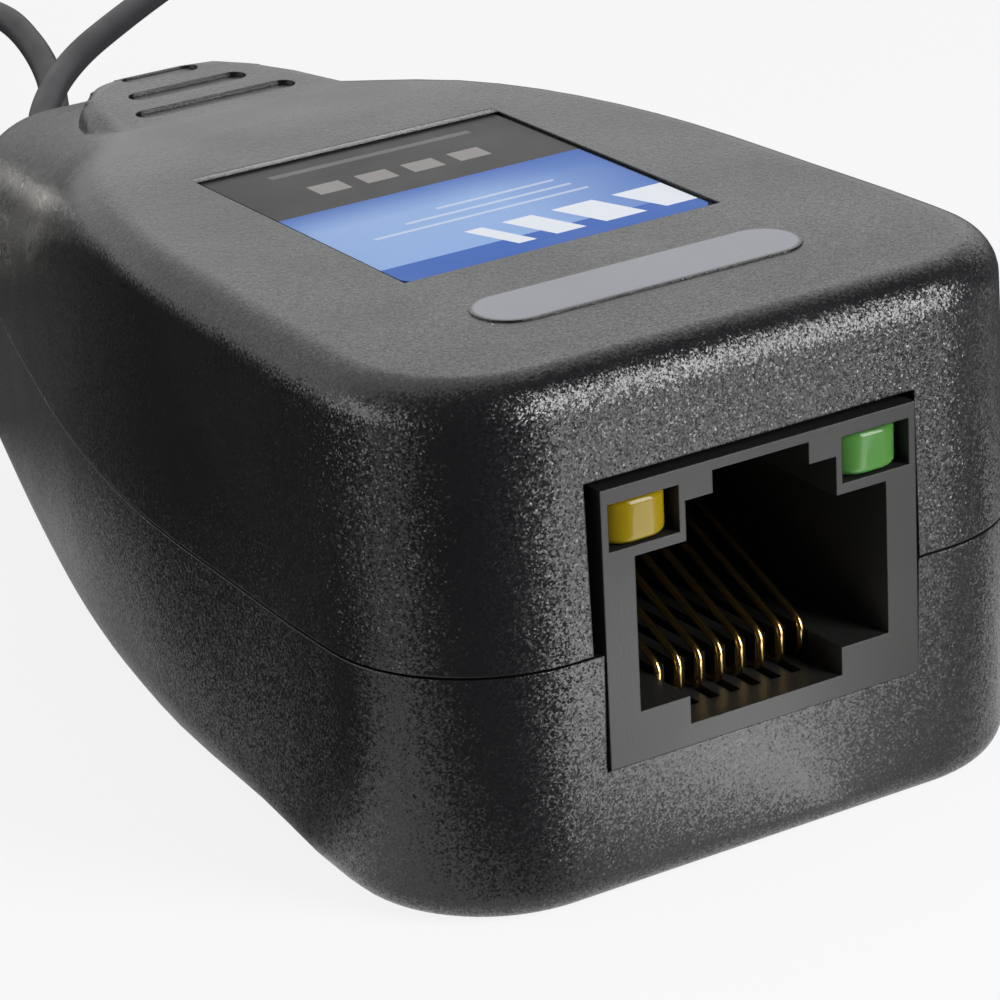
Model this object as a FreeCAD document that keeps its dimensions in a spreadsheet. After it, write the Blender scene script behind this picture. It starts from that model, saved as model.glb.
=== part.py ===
import FreeCAD, Part
import math
import os

import Sketcher

# A passive video balun for a security camera: a tapering two-part housing that clamps a network socket
# with two indicator lamps in its wide end, and a bush with two thin leads in its narrow end.
# +X is to the right as the socket is faced, +Y runs from the socket to the leads, +Z is up.
# The origin is under the middle of the housing, on the surface that it rests on.

DOC = FreeCAD.newDocument("video_balun")
SHEET = DOC.addObject("Spreadsheet::Sheet", "Sizes")
VECTOR = FreeCAD.Vector
AXIS_X = VECTOR(1, 0, 0)
AXIS_Y = VECTOR(0, 1, 0)
AXIS_Z = VECTOR(0, 0, 1)

# Driving dimensions in millimetres. A setback is a distance behind the front face.
SIZES = {
    # housing
    "body_length": 60.0,
    "parting_height": 11.1,
    "parting_gap": 0.12,
    "wall": 2.0,
    "nose_length": 8.0,
    "front_corner_radius": 7.0,
    "draft": 0.03,
    "tail_wall": 2.4,
    "tail_edge_radius": 0.9,
    "cavity_round": 0.8,
    "ledge_setback": 34.0,
    "ledge_length": 2.0,
    "ledge_half_width": 3.0,
    # tapering sections of the housing, from the nose to the tail
    "hip_half_width": 16.1,
    "hip_crest": 23.0,
    "hip_drop": 0.0,
    "hip_round": 1.8,
    "hip_keel": 1.4,
    "flank_setback": 16.0,
    "flank_half_width": 15.7,
    "flank_drop": 0.0,
    "flank_round": 1.8,
    "flank_keel": 2.4,
    "shoulder_setback": 24.0,
    "shoulder_half_width": 15.15,
    "shoulder_drop": 0.0,
    "shoulder_round": 1.8,
    "shoulder_keel": 2.8,
    "taper_setback": 31.0,
    "taper_half_width": 14.0,
    "taper_drop": 0.0,
    "taper_round": 2.2,
    "taper_keel": 3.0,
    "waist_setback": 37.0,
    "waist_half_width": 12.6,
    "waist_drop": 0.1,
    "waist_round": 3.7,
    "waist_keel": 3.0,
    "saddle_setback": 43.0,
    "saddle_half_width": 10.9,
    "saddle_drop": 0.8,
    "saddle_round": 5.8,
    "saddle_keel": 3.0,
    "neck_setback": 50.0,
    "neck_half_width": 8.75,
    "neck_drop": 2.0,
    "neck_round": 6.4,
    "neck_keel": 3.0,
    "tail_half_width": 5.8,
    "tail_drop": 4.6,
    "tail_round": 4.6,
    "tail_keel": 3.0,
    # grip on top of the neck
    "grip_setback": 40.5,
    "grip_length": 9.7,
    "grip_half_width": 7.3,
    "grip_drop": 0.6,
    "grip_edge_radius": 1.3,
    "groove_setback": 43.3,
    "groove_pitch": 2.75,
    "groove_width": 1.3,
    "groove_depth": 0.3,
    "groove_half_length": 4.2,
    "groove_step": 1.1,
    # label and smooth pad on the top
    "label_setback": 13.8,
    "label_length": 17.6,
    "label_width": 15.4,
    "label_thickness": 0.12,
    "label_recess": 0.22,
    "label_margin": 0.2,
    "label_corner": 0.6,
    "pad_setback": 6.5,
    "pad_length": 3.5,
    "pad_width": 15.8,
    "pad_rise": 0.06,
    # socket and its opening in the housing
    "jack_width": 15.4,
    "jack_height": 12.0,
    "jack_depth": 18.0,
    "jack_top": 18.0,
    "aperture_left_gap": 0.6,
    "aperture_right_gap": 0.15,
    "aperture_top_gap": 0.4,
    "aperture_low_gap": 0.1,
    "mouth_half_width": 6.18,
    "mouth_top": 14.89,
    "mouth_floor": 8.16,
    "mouth_depth": 14.0,
    "latch_half_width": 3.7,
    "latch_top": 16.59,
    "catch_half_width": 2.36,
    "catch_top": 17.55,
    "catch_depth": 9.0,
    "notch_half_width": 3.78,
    "notch_floor": 6.93,
    "notch_depth": 3.3,
    "lamp_inner": 4.0,
    "lamp_outer": 7.37,
    "lamp_floor": 15.33,
    "lamp_top": 17.35,
    "lamp_clearance": 0.06,
    "lamp_side_gap": 0.12,
    "lamp_top_gap": 0.06,
    "lamp_recess": 0.05,
    "lamp_length": 7.0,
    "lamp_round": 1.2,
    "lamp_edge_radius": 0.3,
    "lamp_leg_radius": 0.24,
    "lamp_leg_pitch": 1.3,
    "lamp_leg_bend": 0.8,
    "lamp_leg_setback": 19.2,
    "peg_offset": 5.72,
    "peg_setback": 8.9,
    "peg_radius": 1.6,
    "peg_length": 2.6,
    "carrier_setback": 13.2,
    "carrier_half_width": 6.2,
    "carrier_height": 2.4,
    "carrier_clearance": 0.08,
    "carrier_slot": 0.5,
    # contact wires of the socket
    "wire_pitch": 1.02,
    "wire_radius": 0.17,
    "wire_slot": 0.5,
    "wire_slot_setback": 1.5,
    "wire_slot_floor": 6.55,
    "wire_bend": 0.5,
    "wire_bend_setback": 2.6,
    "wire_bend_height": 8.55,
    "wire_floor": 6.85,
    "wire_tip_setback": 12.4,
    "wire_tip_height": 12.8,
    "wire_pin_setback": 15.4,
    "wire_pin_step": 1.3,
    "wire_pin_reach": 0.9,
    # circuit board
    "board_thickness": 1.6,
    "board_front_gap": 0.4,
    "board_clearance": 0.8,
    "board_corner": 5.0,
    "board_hole_clearance": 0.12,
    # pieces on the board
    "base_radius": 5.2,
    "base_thickness": 0.8,
    "balun_setback": 38.0,
    "core_outer_radius": 4.4,
    "core_inner_radius": 2.2,
    "core_height": 3.0,
    "core_lift": 0.9,
    "saddle_gap": 0.75,
    "winding_thickness": 0.5,
    "winding_clearance": 0.05,
    "winding_angle": 130.0,
    "suppressor_offset": 2.6,
    "suppressor_setback": 20.6,
    "suppressor_width": 4.2,
    "suppressor_length": 3.4,
    "suppressor_height": 2.6,
    "fuse_offset": 2.9,
    "fuse_setback": 22.3,
    "fuse_radius": 2.3,
    "fuse_thickness": 1.4,
    "capacitor_radius": 1.9,
    "capacitor_thickness": 1.1,
    "capacitor_setback": 28.6,
    "capacitor_pitch": 4.6,
    "resistor_radius": 0.85,
    "resistor_length": 3.4,
    "resistor_offset": 5.6,
    "resistor_setback": 31.6,
    # screws
    "screw_offset": 8.9,
    "screw_setback": 27.0,
    "screw_radius": 1.0,
    "screw_length": 10.0,
    "screw_head_radius": 2.0,
    "screw_head_height": 1.4,
    "pillar_radius": 3.0,
    "post_radius": 2.5,
    "bore_clearance": 0.1,
    # lead bush
    "bush_half_width": 2.3,
    "bush_half_height": 5.0,
    "bush_flange": 0.9,
    "bush_flange_length": 1.6,
    "bush_recess": 0.2,
    "bush_clearance": 0.03,
    "lead_spacing": 6.8,
    "lead_clearance": 0.05,
    "lead_start_gap": 5.6,
    "tie_gap": 5.3,
    "tie_width": 1.0,
    "tie_thickness": 0.5,
    # leads
    "video_lead_radius": 0.8,
    "power_lead_radius": 0.75,
    "core_radius": 0.32,
    "core_spacing": 0.8,
    "core_bend": 1.0,
    "core_drop_gap": 12.5,
    "core_row_step": 1.5,
    "core_side_step": 1.0,
    "core_fan": 3.0,
    "core_run": 2.2,
    # video plug
    "ring_radius": 7.25,
    "ring_length": 13.0,
    "ring_bore": 4.95,
    "ring_lip": 1.9,
    "ring_shoulder_radius": 6.0,
    "ring_front_bevel": 0.5,
    "lug_radius": 1.1,
    "lug_setback": 5.6,
    "lug_channel_depth": 0.9,
    "bearing_radius": 4.25,
    "running_gap": 0.08,
    "plug_body_front": 9.2,
    "plug_flange_radius": 4.8,
    "plug_flange_length": 1.2,
    "plug_shoulder_gap": 0.25,
    "plug_body_radius": 5.4,
    "plug_body_length": 6.2,
    "plug_bore": 2.6,
    "ferrule_radius": 3.0,
    "ferrule_length": 5.5,
    "sleeve_front": 0.8,
    "sleeve_radius": 4.05,
    "sleeve_bore": 3.55,
    "sleeve_slot": 0.5,
    "sleeve_slot_length": 5.6,
    "gasket_thickness": 0.9,
    "washer_thickness": 0.3,
    "insulator_front": 3.0,
    "insulator_nose_radius": 2.3,
    "insulator_nose_length": 4.0,
    "insulator_clearance": 0.04,
    "pin_front": 1.9,
    "pin_radius": 0.67,
    "pin_taper": 0.8,
    "boot_radius": 4.9,
    "boot_end_radius": 1.7,
    "boot_length": 19.0,
    "boot_rib_count": 5.0,
    "boot_rib_depth": 0.45,
    "boot_lead_depth": 10.5,
    "video_plug_x": -5.0,
    "video_plug_y": 51.0,
    # power plug
    "grip_body_radius": 5.0,
    "grip_body_waist": 3.6,
    "grip_body_end": 1.7,
    "grip_body_length": 25.0,
    "grip_shoulder": 2.0,
    "grip_lead_depth": 8.5,
    "barrel_radius": 2.75,
    "barrel_length": 9.5,
    "barrel_wall": 0.35,
    "barrel_seat": 5.0,
    "barrel_shank_radius": 2.6,
    "barrel_bore": 1.05,
    "barrel_contact_wall": 0.25,
    "power_plug_x": -20.0,
    "power_plug_y": 58.0,
}

# The grip from front to rear: share of its length, share of its half width, fall of its top.
GRIP_ROWS = [(0, 1, 0), (0.48, 0.84, 0), (0.72, 0.71, 0), (0.87, 0.56, 0), (0.95, 0.4, 0.15), (1, 0.22, 0.5)]
STATIONS = ["hip", "flank", "shoulder", "taper", "waist", "saddle", "neck", "tail"]
FIELDS = ["half_width", "drop", "round", "keel"]

for line, (alias, size) in enumerate(SIZES.items(), start=1):
    SHEET.set(f"A{line}", alias.replace("_", " "))
    SHEET.set(f"B{line}", str(size))
    SHEET.setAlias(f"B{line}", alias)
DOC.recompute()


def value(text):
    """The number that an expression over the sheet's sizes gives."""
    found = SHEET.evalExpression(text)
    return float(getattr(found, "Value", found))


def size(alias):
    """One driving dimension as a number."""
    return value(f"Sizes.{alias}")


def behind(text):
    """The y of a place that lies the given distance behind the front face."""
    return f"({text}) - Sizes.body_length / 2"


def setback(station):
    """Where a section of the housing lies behind its front face."""
    if station == "hip":
        return "Sizes.nose_length"
    if station == "tail":
        return "Sizes.body_length - Sizes.tail_edge_radius"
    return f"Sizes.{station}_setback"


def new_body(label):
    """An empty body whose label names its file."""
    body = DOC.addObject("PartDesign::Body", label)
    body.Label = label
    return body


def origin_part(body, role):
    """One of the body's own origin planes or axes."""
    return next(item for item in body.Origin.OriginFeatures if item.Role == role)


def new_sketch(body, plane, lift):
    """An empty sketch on an origin plane, moved along the plane's normal by an expression."""
    sketch = body.newObject("Sketcher::SketchObject", f"{body.Label}_sketch")
    sketch.AttachmentSupport = [(origin_part(body, plane), "")]
    sketch.MapMode = "FlatFace"
    sketch.setExpression("AttachmentOffset.Base.z", lift)
    return sketch


def pin(sketch, geometry, point, x, y):
    """Holds one point of a sketch at the place that two expressions give."""
    for kind, text in (("DistanceX", x), ("DistanceY", y)):
        if text is None:
            continue
        number = sketch.addConstraint(
            Sketcher.Constraint(kind, -1, 1, geometry, point, value(text))
        )
        sketch.setExpression(f"Constraints[{number}]", text)


def outline(body, plane, lift, corners):
    """A closed sketch. A corner is (x, y), or (x, y, centre x, centre y) where an arc leads to the next."""
    sketch = new_sketch(body, plane, lift)
    ends = []
    for here, there in zip(corners, corners[1:] + corners[:1]):
        start = VECTOR(value(here[0]), value(here[1]), 0)
        stop = VECTOR(value(there[0]), value(there[1]), 0)
        if len(here) == 2:
            ends.append((sketch.addGeometry(Part.LineSegment(start, stop), False), 1, 2))
            pin(sketch, ends[-1][0], 1, here[0], here[1])
            continue
        centre = VECTOR(value(here[2]), value(here[3]), 0)
        first, last = start - centre, stop - centre
        left_turn = first.cross(last).z > 0
        if not left_turn:
            first, last = last, first
        angles = [math.atan2(arm.y, arm.x) for arm in (first, last)]
        circle = Part.Circle(centre, AXIS_Z, first.Length)
        arc = sketch.addGeometry(Part.ArcOfCircle(circle, *angles), False)
        ends.append((arc, 1, 2) if left_turn else (arc, 2, 1))
        pin(sketch, arc, ends[-1][1], here[0], here[1])
        pin(sketch, arc, 3, here[2], None)
    for before, after in zip(ends, ends[1:] + ends[:1]):
        sketch.addConstraint(
            Sketcher.Constraint("Coincident", before[0], before[2], after[0], after[1])
        )
    return sketch


def circles(body, plane, lift, places):
    """A sketch of circles, each (x, y, radius)."""
    sketch = new_sketch(body, plane, lift)
    for x, y, radius in places:
        centre = VECTOR(value(x), value(y), 0)
        circle = sketch.addGeometry(Part.Circle(centre, AXIS_Z, value(radius)), False)
        pin(sketch, circle, 3, x, y)
        number = sketch.addConstraint(Sketcher.Constraint("Radius", circle, value(radius)))
        sketch.setExpression(f"Constraints[{number}]", radius)
    return sketch


def rectangle(low_x, low_y, high_x, high_y):
    """The four corners of a rectangle."""
    return [(low_x, low_y), (high_x, low_y), (high_x, high_y), (low_x, high_y)]


def stadium(centre_x, centre_y, half_x, half_y):
    """A slot outline with round ends along its longer side, as corners with arcs."""
    if value(half_x) > value(half_y):
        low, high = f"{centre_x} - ({half_x} - {half_y})", f"{centre_x} + ({half_x} - {half_y})"
        return [
            (low, f"{centre_y} - {half_y}"),
            (high, f"{centre_y} - {half_y}", high, centre_y),
            (f"{high} + {half_y}", centre_y, high, centre_y),
            (high, f"{centre_y} + {half_y}"),
            (low, f"{centre_y} + {half_y}", low, centre_y),
            (f"{low} - {half_y}", centre_y, low, centre_y),
        ]
    low, high = f"{centre_y} - ({half_y} - {half_x})", f"{centre_y} + ({half_y} - {half_x})"
    return [
        (f"{centre_x} + {half_x}", low),
        (f"{centre_x} + {half_x}", high, centre_x, high),
        (centre_x, f"{high} + {half_x}", centre_x, high),
        (f"{centre_x} - {half_x}", high),
        (f"{centre_x} - {half_x}", low, centre_x, low),
        (centre_x, f"{low} - {half_x}", centre_x, low),
    ]


def settle(feature):
    """Works out a feature and stops if it failed."""
    DOC.recompute()
    if "Invalid" in feature.State or "Touched" in feature.State:
        raise ValueError(f"{feature.Name} failed: {feature.getStatusString()}")
    return feature


def grow(body, kind, sketch, length, backwards=False):
    """Adds a pad or cuts a pocket, and stops if its volume change has the wrong sign."""
    DOC.recompute()
    before = body.Shape.Volume if body.Tip else 0.0
    feature = body.newObject(f"PartDesign::{kind}", f"{body.Label}_{kind.lower()}")
    feature.Profile = sketch
    feature.Reversed = backwards
    feature.setExpression("Length", length)
    settle(feature)
    change = body.Shape.Volume - before
    if (kind == "Pad") != (change > 0):
        raise ValueError(f"{feature.Name} changes the volume of {body.Label} by {change}")
    return feature


def loft(body, kind, sketches):
    """Adds or cuts the body through a row of sections."""
    DOC.recompute()
    feature = body.newObject(f"PartDesign::{kind}", f"{body.Label}_{kind.lower()}")
    feature.Profile = sketches[0]
    feature.Sections = sketches[1:]
    feature.Ruled = True
    return settle(feature)


def edges_where(shape, test):
    """Names of the edges whose ends, middle and direction pass a test."""
    names = []
    for number, edge in enumerate(shape.Edges, start=1):
        middle = edge.valueAt((edge.FirstParameter + edge.LastParameter) / 2)
        if test(edge, middle):
            names.append(f"Edge{number}")
    return names


def soften(body, test, radius, kind="Fillet"):
    """Rounds or bevels the edges of the body's tip that pass a test."""
    DOC.recompute()
    names = edges_where(body.Tip.Shape, test)
    base = body.Tip
    feature = body.newObject(f"PartDesign::{kind}", f"{body.Label}_{kind.lower()}")
    feature.Base = (base, names)
    feature.setExpression("Radius" if kind == "Fillet" else "Size", radius)
    return settle(feature)


def blended(field, index, share):
    """A size between two neighbouring stations, on the smooth curve through all stations."""
    names = STATIONS[max(index - 1, 0):index + 3]
    places = [value(setback(name)) for name in names]
    sizes = [size(f"{name}_{field}") for name in names]
    first = min(index, 1)
    gap = places[first + 1] - places[first]
    weights = [0.0] * len(names)
    weights[first] += 2 * share**3 - 3 * share**2 + 1
    weights[first + 1] += 3 * share**2 - 2 * share**3
    slopes = ((first, share**3 - 2 * share**2 + share), (first + 1, share**3 - share**2))
    for middle, factor in slopes:
        low, high = middle - 1, min(middle + 1, len(names) - 1)
        if low < 0 or sizes[low] == sizes[middle] or sizes[middle] == sizes[high] and high > middle:
            continue
        reach = factor * gap / (places[high] - places[low])
        weights[high] += reach
        weights[low] -= reach
    return " + ".join(
        f"({weight:.6f}) * Sizes.{name}_{field}" for name, weight in zip(names, weights) if weight
    )


def station_rows(steps):
    """Sections from the nose to the tail: setback, half width, crest and corner radius of each."""
    rows = []
    for index, station in enumerate(STATIONS):
        rows.append((setback(station), *(f"Sizes.{station}_{field}" for field in FIELDS)))
        if station == STATIONS[-1]:
            break
        ahead = STATIONS[index + 1]
        for count in range(1, steps):
            share = count / steps
            place = f"({setback(station)}) * {1 - share:.6f} + ({setback(ahead)}) * {share:.6f}"
            rows.append((place, *(f"({blended(field, index, share)})" for field in FIELDS)))
    return rows


def section(body, row, upper, inset):
    """One section of a cover: flat at the parting, drafted walls and two round corners."""
    place, half_width, drop, round_size, keel = row
    if upper:
        base = "Sizes.parting_height + Sizes.parting_gap / 2"
        edge = f"Sizes.hip_crest - {drop} - {inset}"
        sign, rim = "-", round_size
    else:
        base = "Sizes.parting_height - Sizes.parting_gap / 2"
        edge = inset
        sign, rim = "+", keel
    turn = rim if inset == "0" else f"max({rim} - {inset}; Sizes.cavity_round)"
    back = "+" if upper else "-"
    slant = "sqrt(1 + Sizes.draft * Sizes.draft)"
    level = f"({edge} {sign} ({turn}))"
    half = f"({half_width} - {inset})"
    arm = f"({half} - Sizes.draft * abs({level} - ({base})) - ({turn}) * {slant})"
    meet_x = f"({arm} + ({turn}) / {slant})"
    meet_z = f"({level} {back} ({turn}) * Sizes.draft / {slant})"
    corners = [
        (half, base),
        (meet_x, meet_z, arm, level),
        (arm, edge),
        (f"-{arm}", edge, f"-{arm}", level),
        (f"-{meet_x}", meet_z),
        (f"-{half}", base),
    ]
    return outline(body, "XZ_Plane", f"-({behind(place)})", corners)


def nose_outline(inset):
    """The front of the housing in plan, with its two round corners."""
    half = f"Sizes.hip_half_width - {inset}"
    turn = f"Sizes.front_corner_radius - {inset}"
    front, rear = behind(inset), behind("Sizes.nose_length")
    arm, centre = f"{half} - ({turn})", f"{front} + {turn}"
    return [
        (half, rear),
        (half, centre, arm, centre),
        (arm, front),
        (f"-({arm})", front, f"-({arm})", centre),
        (f"-({half})", centre),
        (f"-({half})", rear),
    ]


def nose(body, upper, inset, sweep):
    """The front of a cover, or of its hollow: it narrows by the draft away from the parting."""
    side = "+" if upper else "-"
    parting = f"Sizes.parting_height {side} Sizes.parting_gap / 2"
    edge = f"Sizes.hip_crest - {inset}" if upper else inset
    narrowed = f"({inset} + Sizes.draft * abs({edge} - ({parting})))"
    plans = [
        outline(body, "XY_Plane", parting, nose_outline(inset)),
        outline(body, "XY_Plane", edge, nose_outline(narrowed)),
    ]
    loft(body, sweep, plans)
    return value(edge)


def cover(label, upper):
    """Half of the housing: a nose with round corners, a tapering loft behind it, and the hollow of both."""
    body = new_body(label)
    for inset, sweep in (("0", "AdditiveLoft"), ("Sizes.wall", "SubtractiveLoft")):
        level = nose(body, upper, inset, sweep)
        outside = inset == "0"
        if outside:
            rear = value(behind("Sizes.nose_length"))
            rim = "Sizes.hip_round" if upper else "Sizes.hip_keel"
            soften(body, lambda e, m: abs(m.z - level) < 1e-6 and m.y < rear - 1e-3, rim)
        rows = station_rows(3 if outside else 1)
        sketches = [section(body, row, upper, inset) for row in rows[:-1]]
        last = rows[-1]
        if outside:
            sketches.append(section(body, last, upper, inset))
            for share, depth in ((0.7, 0.3), (1.0, 1.0)):
                place = f"{last[0]} + {share} * Sizes.tail_edge_radius"
                taken = f"{depth} * Sizes.tail_edge_radius"
                sketches.append(section(body, (place, *last[1:]), upper, taken))
        else:
            sketches.append(section(body, (inner_tail(), *last[1:]), upper, inset))
        loft(body, sweep, sketches)
    return body


def inner_tail():
    """Where the hollow of the housing ends."""
    return "Sizes.body_length - Sizes.tail_wall"


def aperture(body, upper):
    """The opening in the front wall that frames the socket."""
    low = "Sizes.jack_top - Sizes.jack_height - Sizes.aperture_low_gap"
    high = "Sizes.jack_top + Sizes.aperture_top_gap"
    if upper:
        left, right = "Sizes.aperture_left_gap", "Sizes.aperture_right_gap"
        low = "Sizes.parting_height - 1"
    else:
        left, right = "Sizes.aperture_low_gap", "Sizes.aperture_low_gap"
        high = "Sizes.parting_height + 1"
    frame = rectangle(
        f"-(Sizes.jack_width / 2 + {left})", low, f"Sizes.jack_width / 2 + {right}", high
    )
    sketch = outline(body, "XZ_Plane", f"-({behind('-1')})", frame)
    grow(body, "Pocket", sketch, "Sizes.wall + 1.5")


def bush_seat(body):
    """The slot in the tail wall that holds the lead bush."""
    slot = stadium("0", "Sizes.parting_height", "Sizes.bush_half_width", "Sizes.bush_half_height")
    sketch = outline(body, "XZ_Plane", f"-({behind('Sizes.body_length + 1')})", slot)
    grow(body, "Pocket", sketch, "Sizes.tail_wall + 3", backwards=True)


def grip_section(body, place, half, top):
    """One section of the grip: upright sides and two round upper corners."""
    base = "Sizes.hip_crest - Sizes.neck_drop - Sizes.wall * 0.6"
    turn = "Sizes.grip_edge_radius"
    corners = [
        (half, base),
        (half, f"{top} - {turn}", f"{half} - {turn}", f"{top} - {turn}"),
        (f"{half} - {turn}", top),
        (f"-({half} - {turn})", top, f"-({half} - {turn})", f"{top} - {turn}"),
        (f"-({half})", f"{top} - {turn}"),
        (f"-({half})", base),
    ]
    return outline(body, "XZ_Plane", f"-({behind(place)})", corners)


def grip(body):
    """The raised thumb grip on the neck, round at its rear end, with its three cross grooves."""
    top = "Sizes.hip_crest - Sizes.grip_drop"
    rows = []
    for along, across, fall in GRIP_ROWS:
        place = f"Sizes.grip_setback + {along} * Sizes.grip_length"
        rows.append(grip_section(body, place, f"({across} * Sizes.grip_half_width)", f"{top} - {fall}"))
    loft(body, "AdditiveLoft", rows)
    for count in range(3):
        half = f"(Sizes.groove_half_length - {count} * Sizes.groove_step)"
        middle = behind(f"Sizes.groove_setback + {count} * Sizes.groove_pitch")
        slot = stadium("0", middle, half, "Sizes.groove_width / 2")
        cut = outline(body, "XY_Plane", top, slot)
        grow(body, "Pocket", cut, "Sizes.groove_depth")


def top_details(body):
    """The shallow recess for the label and the smooth raised pad in front of it."""
    half = "(Sizes.label_width / 2 + Sizes.label_margin)"
    front = behind("Sizes.label_setback - Sizes.label_margin")
    rear = behind("Sizes.label_setback + Sizes.label_length + Sizes.label_margin")
    recess = outline(body, "XY_Plane", "Sizes.hip_crest", rectangle(f"-{half}", front, half, rear))
    grow(body, "Pocket", recess, "Sizes.label_recess")
    middle = behind("Sizes.pad_setback + Sizes.pad_length / 2")
    pill = stadium("0", middle, "Sizes.pad_width / 2", "Sizes.pad_length / 2")
    raised = outline(body, "XY_Plane", "Sizes.hip_crest - Sizes.pad_rise", pill)
    grow(body, "Pad", raised, "2 * Sizes.pad_rise")


def board_top():
    """Height of the board's upper face: the socket stands on it."""
    return "Sizes.jack_top - Sizes.jack_height"


def screw_places(radius):
    """A circle of the given radius round each screw."""
    y = behind("Sizes.screw_setback")
    return [("Sizes.screw_offset", y, radius), ("-Sizes.screw_offset", y, radius)]


def upper_cover():
    """The upper shell, with two screw posts that press the board down."""
    body = cover("upper_cover", True)
    aperture(body, True)
    grip(body)
    top_details(body)
    posts = circles(body, "XY_Plane", board_top(), screw_places("Sizes.post_radius"))
    grow(body, "Pad", posts, f"Sizes.hip_crest - Sizes.wall / 2 - ({board_top()})")
    pilots = circles(body, "XY_Plane", board_top(), screw_places("Sizes.screw_radius + 0.05"))
    grow(body, "Pocket", pilots, "Sizes.screw_length", backwards=True)
    bush_seat(body)
    return body


def lower_cover():
    """The lower shell, with two screw pillars and the ledges that carry the board."""
    body = cover("lower_cover", False)
    aperture(body, False)
    floor = f"{board_top()} - Sizes.board_thickness"
    pillars = circles(body, "XY_Plane", "Sizes.wall / 2", screw_places("Sizes.pillar_radius"))
    grow(body, "Pad", pillars, f"{floor} - Sizes.wall / 2")
    ledges = outline(
        body,
        "XY_Plane",
        "Sizes.wall / 2",
        rectangle(
            "-Sizes.ledge_half_width",
            behind("Sizes.ledge_setback"),
            "Sizes.ledge_half_width",
            behind("Sizes.ledge_setback + Sizes.ledge_length"),
        ),
    )
    grow(body, "Pad", ledges, f"{floor} - Sizes.wall / 2")
    head = circles(body, "XY_Plane", "0", screw_places("Sizes.screw_head_radius + 0.3"))
    grow(body, "Pocket", head, "Sizes.screw_head_height + 0.5", backwards=True)
    shank = circles(body, "XY_Plane", "0", screw_places("Sizes.screw_radius + Sizes.bore_clearance"))
    grow(body, "Pocket", shank, floor, backwards=True)
    bush_seat(body)
    return body


def check_and_write(nodes):
    """Stops at any failed object or bad shape, then writes one file for each sub-part."""
    DOC.recompute()
    for item in DOC.Objects:
        if "Invalid" in item.State or "Error" in item.State:
            raise ValueError(f"{item.Name} failed: {item.State}")
    for node in nodes:
        if node.Shape.isNull() or not node.Shape.isValid():
            raise ValueError(f"{node.Label} has no valid shape")
    os.makedirs("parts", exist_ok=True)
    for node in nodes:
        node.Shape.exportStep(f"parts/{node.Label}.step")
        print(node.Label, len(node.Shape.Solids), round(node.Shape.Volume, 2))


def board_floor():
    """Height of the board's lower face."""
    return f"{board_top()} - Sizes.board_thickness"


def lamp_outline(side, inset):
    """The front outline of a lamp, or without an inset of its tunnel: a rectangle beside the latch."""
    inner, outer = "Sizes.lamp_inner", "Sizes.lamp_outer"
    floor, top = "Sizes.lamp_floor", "Sizes.lamp_top"
    if inset:
        near, far = (inset, "Sizes.lamp_side_gap") if side > 0 else ("Sizes.lamp_side_gap", inset)
        inner, outer = f"{inner} + {near}", f"{outer} - {far}"
        floor, top = f"{floor} + {inset}", f"{top} - Sizes.lamp_top_gap"
    if side > 0:
        return rectangle(inner, floor, outer, top)
    return rectangle(f"-({outer})", floor, f"-({inner})", top)


def jack_housing():
    """The network socket's moulded body, with its stepped mouth, lamp tunnels, comb and pegs."""
    body = new_body("jack_housing")
    front = f"-({behind('0')})"
    ahead = f"-({behind('-1')})"
    half = "Sizes.jack_width / 2"
    block = rectangle(f"-{half}", board_top(), half, "Sizes.jack_top")
    grow(body, "Pad", outline(body, "XZ_Plane", front, block), "Sizes.jack_depth", backwards=True)
    steps = [
        ("mouth", "Sizes.mouth_floor", "Sizes.mouth_top", "Sizes.mouth_depth"),
        ("latch", "Sizes.mouth_top - 0.1", "Sizes.latch_top", "Sizes.catch_depth"),
        ("catch", "Sizes.latch_top - 0.1", "Sizes.catch_top", "Sizes.catch_depth"),
        ("notch", "Sizes.notch_floor", "Sizes.mouth_floor + 0.1", "Sizes.notch_depth"),
    ]
    for name, low, high, depth in steps:
        wide = f"Sizes.{name}_half_width"
        hole = outline(body, "XZ_Plane", ahead, rectangle(f"-{wide}", low, wide, high))
        grow(body, "Pocket", hole, f"{depth} + 1")
    for side in (1, -1):
        tunnel = outline(body, "XZ_Plane", ahead, lamp_outline(side, ""))
        grow(body, "Pocket", tunnel, "Sizes.jack_depth + 2")
    for count in range(8):
        middle = f"({count} - 3.5) * Sizes.wire_pitch"
        slot = rectangle(
            f"{middle} - Sizes.wire_slot / 2",
            behind("Sizes.wire_slot_setback"),
            f"{middle} + Sizes.wire_slot / 2",
            behind("Sizes.carrier_setback + 0.2"),
        )
        comb = outline(body, "XY_Plane", "Sizes.mouth_floor + 0.1", slot)
        grow(body, "Pocket", comb, "Sizes.mouth_floor + 0.1 - Sizes.wire_slot_floor")
    wide = "(Sizes.carrier_half_width + Sizes.carrier_clearance)"
    bay = rectangle(
        f"-{wide}",
        behind("Sizes.carrier_setback - Sizes.carrier_clearance"),
        wide,
        behind("Sizes.jack_depth + 1"),
    )
    lift = f"{board_top()} + Sizes.carrier_height + Sizes.carrier_clearance"
    cut = outline(body, "XY_Plane", lift, bay)
    grow(body, "Pocket", cut, "Sizes.carrier_height + Sizes.carrier_clearance + 1")
    y = behind("Sizes.peg_setback")
    pegs = [("Sizes.peg_offset", y, "Sizes.peg_radius"), ("-Sizes.peg_offset", y, "Sizes.peg_radius")]
    pins = circles(body, "XY_Plane", f"{board_top()} + 0.2", pegs)
    grow(body, "Pad", pins, "Sizes.peg_length + 0.2", backwards=True)
    return body


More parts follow.
